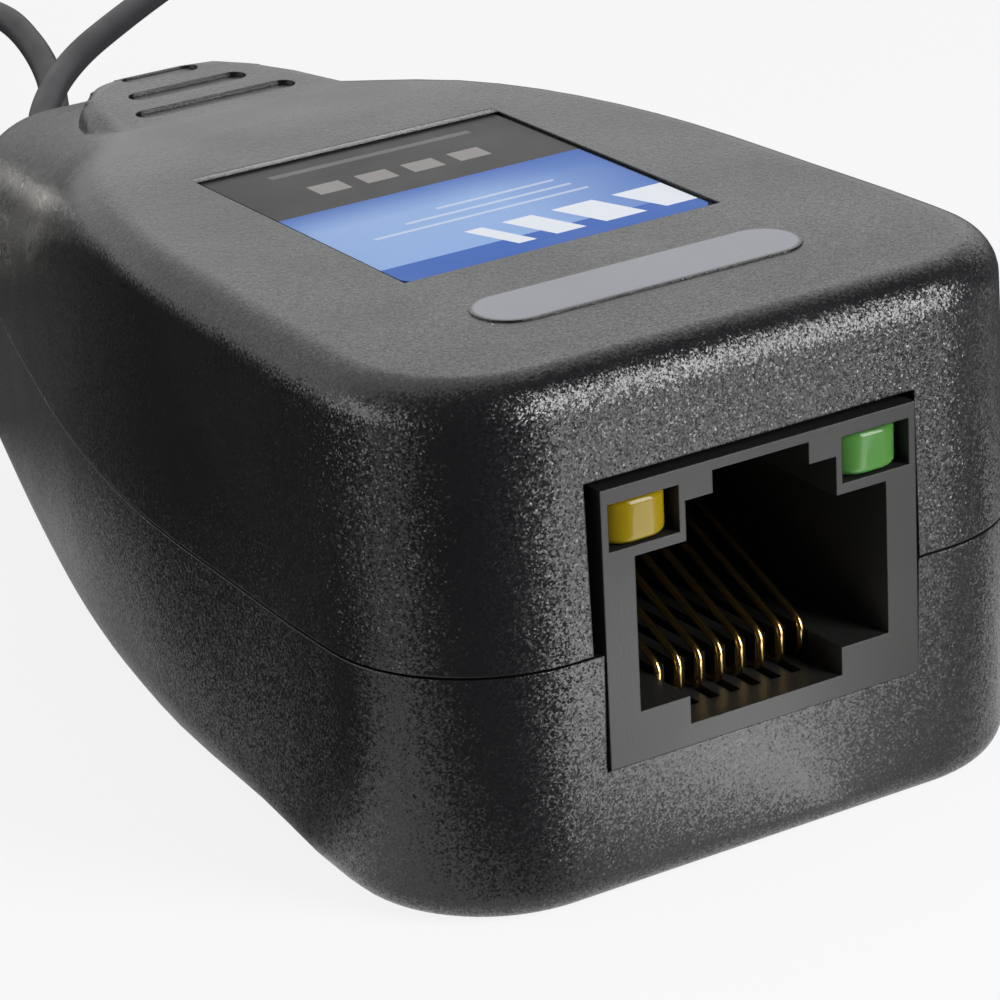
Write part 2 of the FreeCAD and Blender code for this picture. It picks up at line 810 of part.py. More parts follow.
def contact_carrier():
    """The insert at the back of the socket that holds the contact wires down to the board."""
    body = new_body("contact_carrier")
    block = rectangle(
        "-Sizes.carrier_half_width",
        behind("Sizes.carrier_setback"),
        "Sizes.carrier_half_width",
        behind("Sizes.jack_depth"),
    )
    grow(body, "Pad", outline(body, "XY_Plane", board_top(), block), "Sizes.carrier_height")
    for count in range(8):
        middle = f"({count} - 3.5) * Sizes.wire_pitch"
        step = "Sizes.wire_pin_step" if count % 2 else "0"
        slot = rectangle(
            f"{middle} - Sizes.carrier_slot / 2",
            behind("Sizes.carrier_setback - 1"),
            f"{middle} + Sizes.carrier_slot / 2",
            behind(f"Sizes.wire_pin_setback + {step} + Sizes.carrier_slot / 2"),
        )
        lift = "Sizes.wire_floor + Sizes.carrier_slot / 2"
        groove = outline(body, "XY_Plane", lift, slot)
        grow(body, "Pocket", groove, f"{lift} - ({board_top()}) + 1")
    return body


def lamp(label, side):
    """A translucent lamp with a domed front, in its tunnel beside the latch."""
    body = new_body(label)
    front = f"-({behind('Sizes.lamp_recess')})"
    face = outline(body, "XZ_Plane", front, lamp_outline(side, "Sizes.lamp_clearance"))
    grow(body, "Pad", face, "Sizes.lamp_length", backwards=True)
    level = value(behind("Sizes.lamp_recess"))
    upright = value("Sizes.lamp_floor + Sizes.lamp_top") / 2
    near = value(behind("Sizes.lamp_recess + Sizes.lamp_round"))
    soften(body, lambda e, m: abs(m.y - level) < 1e-6 and abs(m.z - upright) < 0.5, "Sizes.lamp_round")
    soften(body, lambda e, m: m.y < near and abs(m.z - upright) > 0.5, "Sizes.lamp_edge_radius")
    return body


def circuit_board():
    """The board, which follows the taper of the housing, with its drilled holes."""
    body = new_body("circuit_board")
    margin = "Sizes.wall - Sizes.board_clearance"
    right = []
    for station in STATIONS[:-1]:
        half = f"Sizes.{station}_half_width - {margin}"
        if station == "hip":
            front = behind("Sizes.wall + Sizes.board_front_gap")
            right.append((f"{half} - Sizes.board_corner", front))
            right.append((half, f"{front} + Sizes.board_corner"))
            continue
        right.append((half, behind(setback(station))))
    left = [(f"-({x})", y) for x, y in reversed(right)]
    plate = outline(body, "XY_Plane", board_floor(), right + left)
    grow(body, "Pad", plate, "Sizes.board_thickness")
    gap = "Sizes.board_hole_clearance"
    holes = screw_places(f"Sizes.screw_radius + {gap}")
    for side in ("", "-"):
        holes.append((f"{side}Sizes.peg_offset", behind("Sizes.peg_setback"), f"Sizes.peg_radius + {gap}"))
        for arm in ("-", "+"):
            x = f"{side}({lamp_middle()} {arm} Sizes.lamp_leg_pitch / 2)"
            holes.append((x, behind("Sizes.lamp_leg_setback"), f"Sizes.lamp_leg_radius + {gap}"))
    for count in range(8):
        step = "Sizes.wire_pin_step" if count % 2 else "0"
        y = behind(f"Sizes.wire_pin_setback + {step}")
        holes.append((f"({count} - 3.5) * Sizes.wire_pitch", y, f"Sizes.wire_radius + {gap}"))
    drilled = circles(body, "XY_Plane", board_top(), holes)
    grow(body, "Pocket", drilled, "Sizes.board_thickness + 1")
    return body


def lamp_middle():
    """How far a lamp's middle lies from the middle of the socket."""
    return "(Sizes.lamp_inner + Sizes.lamp_outer) / 2"


def on_board(label, plan, height, lift="0"):
    """A simple piece that stands on the board, given by its plan."""
    body = new_body(label)
    if len(plan[0]) == 3:
        sketch = circles(body, "XY_Plane", f"{board_top()} + {lift}", plan)
    else:
        sketch = outline(body, "XY_Plane", f"{board_top()} + {lift}", plan)
    grow(body, "Pad", sketch, height)
    return body


def balun_base():
    """The flat seat under the ring core."""
    place = [("0", behind("Sizes.balun_setback"), "Sizes.base_radius")]
    return on_board("balun_base", place, "Sizes.base_thickness")


def ring_section(low, high, inner, outer):
    """A rectangle in the plane through the ring core's upright axis."""
    return [(inner, low), (outer, low), (outer, high), (inner, high)]


def core_levels(extra):
    """Lower and upper height of the ring core, grown by an expression."""
    low = f"{board_top()} + Sizes.base_thickness + Sizes.core_lift"
    return f"{low} - {extra}", f"{low} + Sizes.core_height + {extra}"


def turn_section(body, kind, corners, angle):
    """Revolves a section about the ring core's axis, the same angle to both sides."""
    sketch = outline(body, "XZ_Plane", f"-({behind('Sizes.balun_setback')})", corners)
    feature = body.newObject(f"PartDesign::{kind}", f"{body.Label}_{kind.lower()}")
    feature.Profile = sketch
    feature.ReferenceAxis = (sketch, ["V_Axis"])
    feature.Midplane = angle != "360"
    feature.setExpression("Angle", angle)
    settle(feature)


def balun_core():
    """The ferrite ring that couples the balanced line to the video lead."""
    body = new_body("balun_core")
    low, high = core_levels("0")
    section_corners = ring_section(low, high, "Sizes.core_inner_radius", "Sizes.core_outer_radius")
    turn_section(body, "Revolution", section_corners, "360")
    return body


def winding(label, side):
    """One winding on the ring core, drawn as the closed band of its turns."""
    body = new_body(label)
    for kind, extra in (
        ("Revolution", "(Sizes.winding_clearance + Sizes.winding_thickness)"),
        ("Groove", "Sizes.winding_clearance"),
    ):
        low, high = core_levels(extra)
        inner, outer = f"Sizes.core_inner_radius - {extra}", f"Sizes.core_outer_radius + {extra}"
        corners = ring_section(low, high, inner, outer)
        if side < 0:
            corners = [(f"-({x})", z) for x, z in corners]
        turn_section(body, kind, corners, "Sizes.winding_angle")
    return body


def balun_saddle():
    """The short column that holds the ring core clear of its seat."""
    place = [("0", behind("Sizes.balun_setback"), "Sizes.core_inner_radius - Sizes.saddle_gap")]
    return on_board("balun_saddle", place, "Sizes.core_lift + Sizes.core_height", "Sizes.base_thickness")


def surge_suppressor():
    """The block that takes up surges on the line."""
    x, y = "-Sizes.suppressor_offset", behind("Sizes.suppressor_setback")
    plan = rectangle(
        f"{x} - Sizes.suppressor_width / 2",
        y,
        f"{x} + Sizes.suppressor_width / 2",
        f"{y} + Sizes.suppressor_length",
    )
    return on_board("surge_suppressor", plan, "Sizes.suppressor_height")


def upright_discs(label, places, radius, thickness):
    """Round flat pieces that stand on edge on the board, each at an (x, y)."""
    body = new_body(label)
    body.AllowCompound = True
    for x, y in places:
        disc = [(x, f"{board_top()} + {radius}", radius)]
        sketch = circles(body, "XZ_Plane", f"-({y})", disc)
        grow(body, "Pad", sketch, thickness, backwards=True)
    return body


def power_fuse():
    """The resettable fuse of the power pair."""
    place = [("Sizes.fuse_offset", behind("Sizes.fuse_setback"))]
    return upright_discs("power_fuse", place, "Sizes.fuse_radius", "Sizes.fuse_thickness")


def ceramic_capacitors():
    """Two disc capacitors side by side."""
    y = behind("Sizes.capacitor_setback")
    places = [("-Sizes.capacitor_pitch / 2", y), ("Sizes.capacitor_pitch / 2", y)]
    sizes = ("Sizes.capacitor_radius", "Sizes.capacitor_thickness")
    return upright_discs("ceramic_capacitors", places, *sizes)


def resistors():
    """Two resistors that lie along the board beside the ring core."""
    y = behind("Sizes.resistor_setback")
    places = [("-Sizes.resistor_offset", y), ("Sizes.resistor_offset", y)]
    return upright_discs("resistors", places, "Sizes.resistor_radius", "Sizes.resistor_length")


def cover_screws():
    """The two screws that clamp the covers and the board together."""
    body = new_body("cover_screws")
    body.AllowCompound = True
    floor = "Sizes.screw_head_height + 0.5"
    heads = circles(body, "XY_Plane", floor, screw_places("Sizes.screw_head_radius"))
    grow(body, "Pad", heads, "Sizes.screw_head_height", backwards=True)
    shanks = circles(body, "XY_Plane", f"{floor} - 0.1", screw_places("Sizes.screw_radius"))
    grow(body, "Pad", shanks, "Sizes.screw_length + 0.1")
    return body


def top_label():
    """The flat label in its recess."""
    half = "Sizes.label_width / 2"
    plan = rectangle(
        f"-{half}",
        behind("Sizes.label_setback"),
        half,
        behind("Sizes.label_setback + Sizes.label_length"),
    )
    body = new_body("top_label")
    sheet = outline(body, "XY_Plane", "Sizes.hip_crest - Sizes.label_recess", plan)
    grow(body, "Pad", sheet, "Sizes.label_thickness")
    soften(body, lambda e, m: abs(e.Length - size("label_thickness")) < 1e-6, "Sizes.label_corner")
    return body


def cord_bush():
    """The rubber bush in the tail, with a flange inside and a hole for each lead."""
    body = new_body("cord_bush")
    gap = "Sizes.bush_clearance"
    flange_start = f"Sizes.body_length - Sizes.tail_wall - {gap} - Sizes.bush_flange_length"
    neck = stadium(
        "0",
        "Sizes.parting_height",
        f"(Sizes.bush_half_width - {gap})",
        f"(Sizes.bush_half_height - {gap})",
    )
    flange = stadium(
        "0",
        "Sizes.parting_height",
        "(Sizes.bush_half_width + Sizes.bush_flange)",
        "Sizes.bush_half_height",
    )
    start = f"-({behind(flange_start)})"
    plate = outline(body, "XZ_Plane", start, flange)
    grow(body, "Pad", plate, "Sizes.bush_flange_length", backwards=True)
    stem = outline(body, "XZ_Plane", start, neck)
    length = f"Sizes.body_length - Sizes.bush_recess - ({flange_start})"
    grow(body, "Pad", stem, length, backwards=True)
    holes = []
    for side, radius in (("+", "Sizes.power_lead_radius"), ("-", "Sizes.video_lead_radius")):
        z = f"Sizes.parting_height {side} Sizes.lead_spacing / 2"
        holes.append(("0", z, f"{radius} + Sizes.lead_clearance"))
    ahead = f"-({behind(f'{flange_start} - 1')})"
    bores = circles(body, "XZ_Plane", ahead, holes)
    grow(body, "Pocket", bores, "Sizes.tail_wall + Sizes.bush_flange_length + 3")
    return body


def inner_tie():
    """The tie that grips both leads inside the housing."""
    body = new_body("inner_tie")
    start = f"-({behind('Sizes.body_length - Sizes.tie_gap')})"
    half_x = "(Sizes.video_lead_radius + Sizes.lead_clearance)"
    half_y = f"(Sizes.lead_spacing / 2 + {half_x})"
    wrap = stadium(
        "0",
        "Sizes.parting_height",
        f"({half_x} + Sizes.tie_thickness)",
        f"({half_y} + Sizes.tie_thickness)",
    )
    grow(body, "Pad", outline(body, "XZ_Plane", start, wrap), "Sizes.tie_width", backwards=True)
    hole = stadium("0", "Sizes.parting_height", half_x, half_y)
    ahead = f"-({behind('Sizes.body_length - Sizes.tie_gap - 1')})"
    grow(body, "Pocket", outline(body, "XZ_Plane", ahead, hole), "Sizes.tie_width + 2")
    return body


def centre_line(points, bend=None):
    """Straight runs joined by tangent arcs. Without a bend radius each arc is as wide as its runs allow."""
    edges = []
    tightest = math.inf
    here = points[0]
    for before, corner, after in zip(points, points[1:], points[2:]):
        arriving, leaving = corner - before, after - corner
        half_turn = arriving.getAngle(leaving) / 2
        shorter = min(arriving.Length, leaving.Length)
        radius = bend or 0.45 * shorter / math.tan(half_turn)
        reach = radius * math.tan(half_turn)
        arriving.normalize()
        leaving.normalize()
        start, stop = corner - arriving * reach, corner + leaving * reach
        inward = leaving - arriving
        inward.normalize()
        middle = corner + inward * (radius / math.cos(half_turn) - radius)
        edges.append(Part.LineSegment(here, start).toShape())
        edges.append(Part.Arc(start, middle, stop).toShape())
        tightest = min(tightest, radius)
        here = stop
    edges.append(Part.LineSegment(here, points[-1]).toShape())
    return Part.Wire(edges), tightest


def tube(points, radius, bend=None):
    """A round wire or lead along a route."""
    line, tightest = centre_line(points, bend)
    ring = Part.Wire(Part.makeCircle(radius, points[0], points[1] - points[0]))
    solid = line.makePipeShell([ring], True, False)
    expected = math.pi * radius**2 * line.Length
    if abs(solid.Volume / expected - 1) > 0.01:
        raise ValueError(f"a tube has {solid.Volume} in place of {expected}")
    return solid, line.Length, tightest


def wire_group(label, routes, radius, bend=None):
    """A node made of one or several bent wires."""
    group = DOC.addObject("Part::Feature", label)
    group.Label = label
    made = [tube(route, radius, bend) for route in routes]
    shapes = [solid for solid, _, _ in made]
    group.Shape = shapes[0] if len(shapes) == 1 else Part.makeCompound(shapes)
    if bend is None:
        for _, length, tightest in made:
            print(label, "length", round(length, 1), "tightest bend", round(tightest, 1))
    return group


def contact_wires():
    """The eight sprung contacts of the socket: pin, floor run, front bend and rising tip."""
    routes = []
    pin_end = value(f"{board_floor()} - Sizes.wire_pin_reach")
    floor = size("wire_floor")
    front = value(behind("Sizes.wire_bend_setback"))
    for count in range(8):
        x = (count - 3.5) * size("wire_pitch")
        step = size("wire_pin_step") if count % 2 else 0
        rear = value(behind("Sizes.wire_pin_setback")) + step
        routes.append(
            [
                VECTOR(x, rear, pin_end),
                VECTOR(x, rear, floor),
                VECTOR(x, front, floor),
                VECTOR(x, front, size("wire_bend_height")),
                VECTOR(x, value(behind("Sizes.wire_tip_setback")), size("wire_tip_height")),
            ]
        )
    return wire_group("contact_wires", routes, size("wire_radius"), size("wire_bend"))


def lamp_leads():
    """Two legs for each lamp, back through the tunnel and down into the board."""
    routes = []
    start = value(behind("Sizes.lamp_recess + Sizes.lamp_length"))
    rear = value(behind("Sizes.lamp_leg_setback"))
    height = value("(Sizes.lamp_floor + Sizes.lamp_top) / 2")
    foot = value(f"{board_floor()} - Sizes.wire_pin_reach")
    for side in (1, -1):
        for arm in (-0.5, 0.5):
            x = side * (value(lamp_middle()) + arm * size("lamp_leg_pitch"))
            routes.append([VECTOR(x, start, height), VECTOR(x, rear, height), VECTOR(x, rear, foot)])
    return wire_group("lamp_leads", routes, size("lamp_leg_radius"), size("lamp_leg_bend"))


def lead_height(side):
    """Height of a lead in the bush: +1 for the power lead, -1 for the video lead."""
    return size("parting_height") + side * size("lead_spacing") / 2


def lead_cores():
    """The four cores that run from the leads down to the board."""
    routes = []
    start = value(behind("Sizes.body_length - Sizes.lead_start_gap"))
    top = value(board_top())
    for side in (1, -1):
        gap = "Sizes.core_drop_gap" + (" + Sizes.core_row_step" if side > 0 else "")
        drop = value(behind(f"Sizes.body_length - ({gap})"))
        for arm in (-0.5, 0.5):
            x = arm * size("core_spacing")
            spread = x * size("core_fan") + side * size("core_side_step")
            height = lead_height(side)
            foot = VECTOR(spread, drop, top)
            above = VECTOR(spread, drop, height)
            ahead = VECTOR(x, start - size("core_run"), height)
            routes.append([VECTOR(x, start, height), ahead, above, foot])
    return wire_group("lead_cores", routes, size("core_radius"), size("core_bend") / 2)


def plug_placement(x, y, front, front_radius, rear, rear_radius):
    """Lays a plug down so that it rests on the edge of its wide part and on the end of its tail."""
    span = rear - front
    reach = math.hypot(span, front_radius - rear_radius)
    tilt = math.asin((front_radius - rear_radius) / span * span / reach)
    turn = FreeCAD.Rotation(AXIS_X, -math.degrees(tilt))
    lowest = turn.multVec(VECTOR(0, front, -front_radius))
    return FreeCAD.Placement(VECTOR(x, y, -lowest.z), turn), tilt


def turned(label, profile, seat):
    """A turned piece. The profile's corners are (distance behind the plug's mouth, radius)."""
    body = new_body(label)
    corners = [(radius, place) for place, radius in profile]
    sketch = outline(body, "XY_Plane", "0", corners)
    feature = body.newObject("PartDesign::Revolution", f"{label}_revolution")
    feature.Profile = sketch
    feature.ReferenceAxis = (origin_part(body, "Y_Axis"), [""])
    feature.Angle = 360
    settle(feature)
    body.Placement = seat
    return body


def step(front, rear, outer, inner):
    """A plain tube's profile."""
    return [(front, inner), (rear, inner), (rear, outer), (front, outer)]


def video_plug(seat):
    """The pieces of the bayonet plug, from its mouth backwards."""
    flange_rear = "Sizes.plug_body_front + Sizes.plug_flange_length"
    shoulder = "Sizes.ring_length + Sizes.plug_shoulder_gap"
    body_rear = f"{shoulder} + Sizes.plug_body_length"
    ferrule_rear = f"{body_rear} + Sizes.ferrule_length"
    bore_rear = f"{body_rear} - 1"
    shell = turned(
        "video_plug_body",
        [
            ("Sizes.plug_body_front", "Sizes.plug_bore"),
            (bore_rear, "Sizes.plug_bore"),
            (bore_rear, "0"),
            (ferrule_rear, "0"),
            (ferrule_rear, "Sizes.ferrule_radius"),
            (body_rear, "Sizes.ferrule_radius"),
            (body_rear, "Sizes.plug_body_radius"),
            (shoulder, "Sizes.plug_body_radius"),
            (shoulder, "Sizes.bearing_radius"),
            (flange_rear, "Sizes.bearing_radius"),
            (flange_rear, "Sizes.plug_flange_radius"),
            ("Sizes.plug_body_front", "Sizes.plug_flange_radius"),
        ],
        seat,
    )
    ring = coupling_ring(seat)
    sleeve = contact_sleeve(seat)
    gasket = turned(
        "video_plug_gasket",
        step(
            "Sizes.plug_body_front - Sizes.gasket_thickness",
            "Sizes.plug_body_front",
            "Sizes.plug_flange_radius",
            "Sizes.sleeve_radius + Sizes.insulator_clearance",
        ),
        seat,
    )
    washer = turned(
        "video_plug_washer",
        step(
            flange_rear,
            f"{flange_rear} + Sizes.washer_thickness",
            "Sizes.plug_flange_radius",
            "Sizes.bearing_radius + Sizes.insulator_clearance",
        ),
        seat,
    )
    insulator = turned(
        "video_plug_insulator",
        [
            ("Sizes.insulator_front", "Sizes.pin_radius"),
            (bore_rear, "Sizes.pin_radius"),
            (bore_rear, "Sizes.plug_bore - Sizes.insulator_clearance"),
            ("Sizes.plug_body_front", "Sizes.plug_bore - Sizes.insulator_clearance"),
            ("Sizes.plug_body_front", "Sizes.sleeve_bore - Sizes.insulator_clearance"),
            (
                "Sizes.insulator_front + Sizes.insulator_nose_length",
                "Sizes.sleeve_bore - Sizes.insulator_clearance",
            ),
            ("Sizes.insulator_front + Sizes.insulator_nose_length", "Sizes.insulator_nose_radius"),
            ("Sizes.insulator_front", "Sizes.insulator_nose_radius"),
        ],
        seat,
    )
    pin_piece = turned(
        "video_plug_pin",
        [
            ("Sizes.pin_front", "0"),
            (bore_rear, "0"),
            (bore_rear, "Sizes.pin_radius"),
            ("Sizes.pin_front + Sizes.pin_taper", "Sizes.pin_radius"),
            ("Sizes.pin_front", "Sizes.pin_radius / 2"),
        ],
        seat,
    )
    boot = ribbed_boot(seat, body_rear, ferrule_rear)
    return [boot, shell, sleeve, ring, insulator, pin_piece, gasket, washer]


def coupling_ring(seat):
    """The bayonet ring that turns on the plug's body, with its lug channels and windows."""
    inner_floor = "Sizes.ring_length - Sizes.ring_lip"
    bevel = "Sizes.ring_front_bevel"
    hole = "Sizes.bearing_radius + Sizes.running_gap"
    ring = turned(
        "video_plug_ring",
        [
            (bevel, "Sizes.ring_bore"),
            (inner_floor, "Sizes.ring_bore"),
            (inner_floor, hole),
            ("Sizes.ring_length", hole),
            ("Sizes.ring_length", "Sizes.ring_shoulder_radius"),
            (f"{inner_floor}", "Sizes.ring_radius"),
            (bevel, "Sizes.ring_radius"),
            ("0", f"Sizes.ring_radius - {bevel}"),
            ("0", f"Sizes.ring_bore + {bevel}"),
        ],
        seat,
    )
    window = [("Sizes.lug_setback", "0", "Sizes.lug_radius")]
    windows = circles(ring, "YZ_Plane", "-Sizes.ring_radius - 1", window)
    grow(ring, "Pocket", windows, "2 * Sizes.ring_radius + 2", backwards=True)
    reach = "(Sizes.ring_bore + Sizes.lug_channel_depth)"
    channel = rectangle(f"-{reach}", "-Sizes.lug_radius", reach, "Sizes.lug_radius")
    mouth = outline(ring, "XZ_Plane", "1", channel)
    grow(ring, "Pocket", mouth, "Sizes.lug_setback + 1")
    return ring


def contact_sleeve(seat):
    """The sprung outer contact inside the ring, split by four slots."""
    sleeve = turned(
        "video_plug_sleeve",
        step("Sizes.sleeve_front", "Sizes.plug_body_front", "Sizes.sleeve_radius", "Sizes.sleeve_bore"),
        seat,
    )
    reach = "(Sizes.sleeve_radius + 1)"
    half = "Sizes.sleeve_slot / 2"
    for wide, high in ((reach, half), (half, reach)):
        cut = outline(sleeve, "XZ_Plane", "1", rectangle(f"-{wide}", f"-{high}", wide, high))
        grow(sleeve, "Pocket", cut, "1 + Sizes.sleeve_front + Sizes.sleeve_slot_length")
    return sleeve


def ribbed_boot(seat, body_rear, ferrule_rear):
    """The rubber boot with shrinking ribs towards the lead."""
    gap = "Sizes.lead_clearance"
    hole = f"Sizes.video_lead_radius + {gap}"
    rear = f"{body_rear} + Sizes.boot_length"
    profile = [
        (body_rear, f"Sizes.ferrule_radius + {gap}"),
        (f"{ferrule_rear} + {gap}", f"Sizes.ferrule_radius + {gap}"),
        (f"{ferrule_rear} + {gap}", "0"),
        (f"{rear} - Sizes.boot_lead_depth", "0"),
        (f"{rear} - Sizes.boot_lead_depth", hole),
        (rear, hole),
        (rear, "Sizes.boot_end_radius"),
    ]
    count = int(size("boot_rib_count"))
    shrink = "(Sizes.boot_radius - Sizes.boot_end_radius) / Sizes.boot_length"

    def corner(along, depth=""):
        """A corner of the profile on the boot's cone, or at the bottom of a groove."""
        return (f"{body_rear} + {along}", f"Sizes.boot_radius - {shrink} * ({along}){depth}")

    deep = " - Sizes.boot_rib_depth"
    for rib in range(count, 0, -1):
        far = f"Sizes.boot_length * (0.4 + {rib} * 0.55 / Sizes.boot_rib_count)"
        near = f"({far} - Sizes.boot_length * 0.275 / Sizes.boot_rib_count)"
        before = f"({far} - Sizes.boot_length * 0.55 / Sizes.boot_rib_count)"
        profile += [corner(far), corner(near), corner(near, deep), corner(before, deep)]
    profile += [corner("Sizes.boot_length * 0.4"), (body_rear, "Sizes.boot_radius")]
    return turned("video_plug_boot", profile, seat)


def power_plug(seat):
    """The pieces of the power plug, from its mouth backwards."""
    shoulder = "Sizes.barrel_length"
    rear = f"{shoulder} + Sizes.grip_body_length"
    seat_rear = f"{shoulder} + Sizes.barrel_seat"
    inner = "Sizes.barrel_radius - Sizes.barrel_wall"
    lead_hole = "Sizes.power_lead_radius + Sizes.lead_clearance"
    grip_piece = turned(
        "power_plug_grip",
        [
            (shoulder, "Sizes.barrel_shank_radius"),
            (seat_rear, "Sizes.barrel_shank_radius"),
            (seat_rear, "0"),
            (f"{rear} - Sizes.grip_lead_depth", "0"),
            (f"{rear} - Sizes.grip_lead_depth", lead_hole),
            (rear, lead_hole),
            (rear, "Sizes.grip_body_end"),
            (f"{shoulder} + Sizes.grip_body_length * 0.55", "Sizes.grip_body_waist * 0.6"),
            (f"{shoulder} + Sizes.grip_body_length * 0.45", "Sizes.grip_body_waist"),
            (f"{shoulder} + Sizes.grip_shoulder", "Sizes.grip_body_radius"),
            (shoulder, "Sizes.grip_body_radius"),
        ],
        seat,
    )
    barrel = turned(
        "power_plug_barrel",
        [
            ("0", inner),
            (seat_rear, inner),
            (seat_rear, "Sizes.barrel_shank_radius"),
            (shoulder, "Sizes.barrel_shank_radius"),
            (shoulder, "Sizes.barrel_radius"),
            ("0", "Sizes.barrel_radius"),
        ],
        seat,
    )
    tube_outer = "Sizes.barrel_bore + Sizes.barrel_contact_wall"
    insulator = turned(
        "power_plug_insulator",
        [
            ("0.3", tube_outer),
            (seat_rear, tube_outer),
            (seat_rear, inner),
            ("0.3", inner),
        ],
        seat,
    )
    contact = turned("power_plug_contact", step("0.5", seat_rear, tube_outer, "Sizes.barrel_bore"), seat)
    return [grip_piece, barrel, insulator, contact]


def landing(seat, place, radius):
    """The point of a plug's axis, behind its tail, where the lead comes to lie on the surface."""
    tail = seat.multVec(VECTOR(0, place, 0))
    back = seat.Rotation.multVec(AXIS_Y)
    return tail + back * ((tail.z - radius - 0.05) / -back.z)


def video_lead(seat, tail):
    """The video lead: out of the lower hole, round behind the housing and into the boot."""
    height = lead_height(-1)
    radius = size("video_lead_radius")
    start = value(behind("Sizes.body_length - Sizes.lead_start_gap"))
    route = [
        VECTOR(0, start, height),
        VECTOR(0, 33.0, height),
        VECTOR(5.3, 41.5, 8.5),
        VECTOR(10.7, 52.0, 9.6),
        VECTOR(15.8, 63.0, 10.0),
        VECTOR(18.8, 75.5, 10.2),
        VECTOR(20.8, 88.0, 5.8),
        VECTOR(18.5, 101.0, 1.4),
        VECTOR(9.0, 110.0, radius),
        VECTOR(-3.0, 107.0, radius),
        landing(seat, tail, radius),
        seat.multVec(VECTOR(0, tail - size("boot_lead_depth"), 0)),
    ]
    return wire_group("video_lead", [route], radius)


def power_lead(seat, tail):
    """The power lead: out of the upper hole, in a wider loop outside the video lead, into the grip."""
    height = lead_height(1)
    radius = size("power_lead_radius")
    start = value(behind("Sizes.body_length - Sizes.lead_start_gap"))
    route = [
        VECTOR(0, start, height),
        VECTOR(0, 33.6, height),
        VECTOR(6.6, 43.6, 15.5),
        VECTOR(17.0, 53.2, 15.3),
        VECTOR(26.0, 63.0, 13.8),
        VECTOR(30.0, 75.0, 10.9),
        VECTOR(31.0, 89.0, 7.4),
        VECTOR(28.5, 103.0, 3.8),
        VECTOR(19.0, 114.0, 0.9),
        VECTOR(5.0, 119.0, radius),
        VECTOR(-11.0, 115.5, radius),
        landing(seat, tail, radius),
        seat.multVec(VECTOR(0, tail - size("grip_lead_depth"), 0)),
    ]
    return wire_group("power_lead", [route], radius)


def main():
    """Builds every sub-part and the leads between the housing and the plugs."""
    nodes = [upper_cover(), lower_cover(), top_label(), cover_screws()]
    nodes += [jack_housing(), contact_carrier(), contact_wires()]
    nodes += [lamp("yellow_lamp", -1), lamp("green_lamp", 1), lamp_leads()]
    nodes += [circuit_board(), balun_base(), balun_saddle(), balun_core()]
    nodes += [winding("line_winding", -1), winding("video_winding", 1)]
    nodes += [surge_suppressor(), power_fuse(), ceramic_capacitors(), resistors()]
    nodes += [cord_bush(), inner_tie(), lead_cores()]

    shoulder = value("Sizes.ring_length + Sizes.plug_shoulder_gap + Sizes.plug_body_length")
    boot_rear = shoulder + size("boot_length")
    video_seat, video_tilt = plug_placement(
        size("video_plug_x"),
        size("video_plug_y"),
        value("Sizes.ring_length - Sizes.ring_lip"),
        size("ring_radius"),
        boot_rear,
        size("boot_end_radius"),
    )
    grip_rear = value("Sizes.barrel_length + Sizes.grip_body_length")
    power_seat, power_tilt = plug_placement(
        size("power_plug_x"),
        size("power_plug_y"),
        value("Sizes.barrel_length + Sizes.grip_shoulder"),
        size("grip_body_radius"),
        grip_rear,
        size("grip_body_end"),
    )
    print("video plug", video_seat.Base, "tilt", math.degrees(video_tilt))
    print("ring axis", video_seat.Rotation.multVec(-AXIS_Y))
    print("power plug", power_seat.Base, "tilt", math.degrees(power_tilt))
    print("power axis", power_seat.Rotation.multVec(-AXIS_Y))
    nodes += video_plug(video_seat)
    nodes += power_plug(power_seat)
    nodes += [video_lead(video_seat, boot_rear), power_lead(power_seat, grip_rear)]
    check_and_write(nodes)


main()
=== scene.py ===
"""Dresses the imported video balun: finishes, lamps, label, leads, plugs, studio and camera."""

import logging
import math
from dataclasses import dataclass
from enum import Enum
from typing import Sequence

import bmesh
import bpy
from mathutils import Matrix, Vector


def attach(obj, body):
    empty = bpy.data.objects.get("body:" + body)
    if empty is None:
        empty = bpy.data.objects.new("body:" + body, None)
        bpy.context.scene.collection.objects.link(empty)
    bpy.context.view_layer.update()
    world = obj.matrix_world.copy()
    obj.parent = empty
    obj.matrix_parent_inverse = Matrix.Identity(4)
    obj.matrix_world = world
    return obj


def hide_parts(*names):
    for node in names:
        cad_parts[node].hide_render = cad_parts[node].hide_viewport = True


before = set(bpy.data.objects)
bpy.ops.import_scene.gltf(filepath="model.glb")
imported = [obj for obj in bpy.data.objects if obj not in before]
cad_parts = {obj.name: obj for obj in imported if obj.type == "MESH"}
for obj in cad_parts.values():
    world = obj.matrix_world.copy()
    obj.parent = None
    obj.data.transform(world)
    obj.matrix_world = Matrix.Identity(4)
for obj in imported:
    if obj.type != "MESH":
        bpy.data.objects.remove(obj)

LOG = logging.getLogger("video_balun")
MM = 0.001
Point = tuple[float, float, float]
Color = tuple[float, float, float, float]
# The middle x, middle y, half width and half height of a rectangle.
Box = tuple[float, float, float, float]
Tree = bpy.types.NodeTree
Socket = bpy.types.NodeSocket

# The inputs and the output of a mix node that mixes colours.
MIX_SHARE, MIX_UNDER, MIX_OVER, MIX_COLOR = 0, 6, 7, 2

# The noises of every finish: their detail, and how wide and strong the wear is.
MOTTLE_DETAIL = 4.0
FINE_DETAIL = 3.0
GRAIN_ROUGHNESS = 0.55
WORN_SCALE = 0.7
WORN_RANGE = (0.3, 0.7)
GLOSS_SPREAD = 0.12
BEVEL_SAMPLES = 4
SUBSURFACE_MM = 1.5

# Points closer than this become one, and large faces lead the shading by this weight.
MERGE_MM = 0.002
NORMAL_WEIGHT = 80

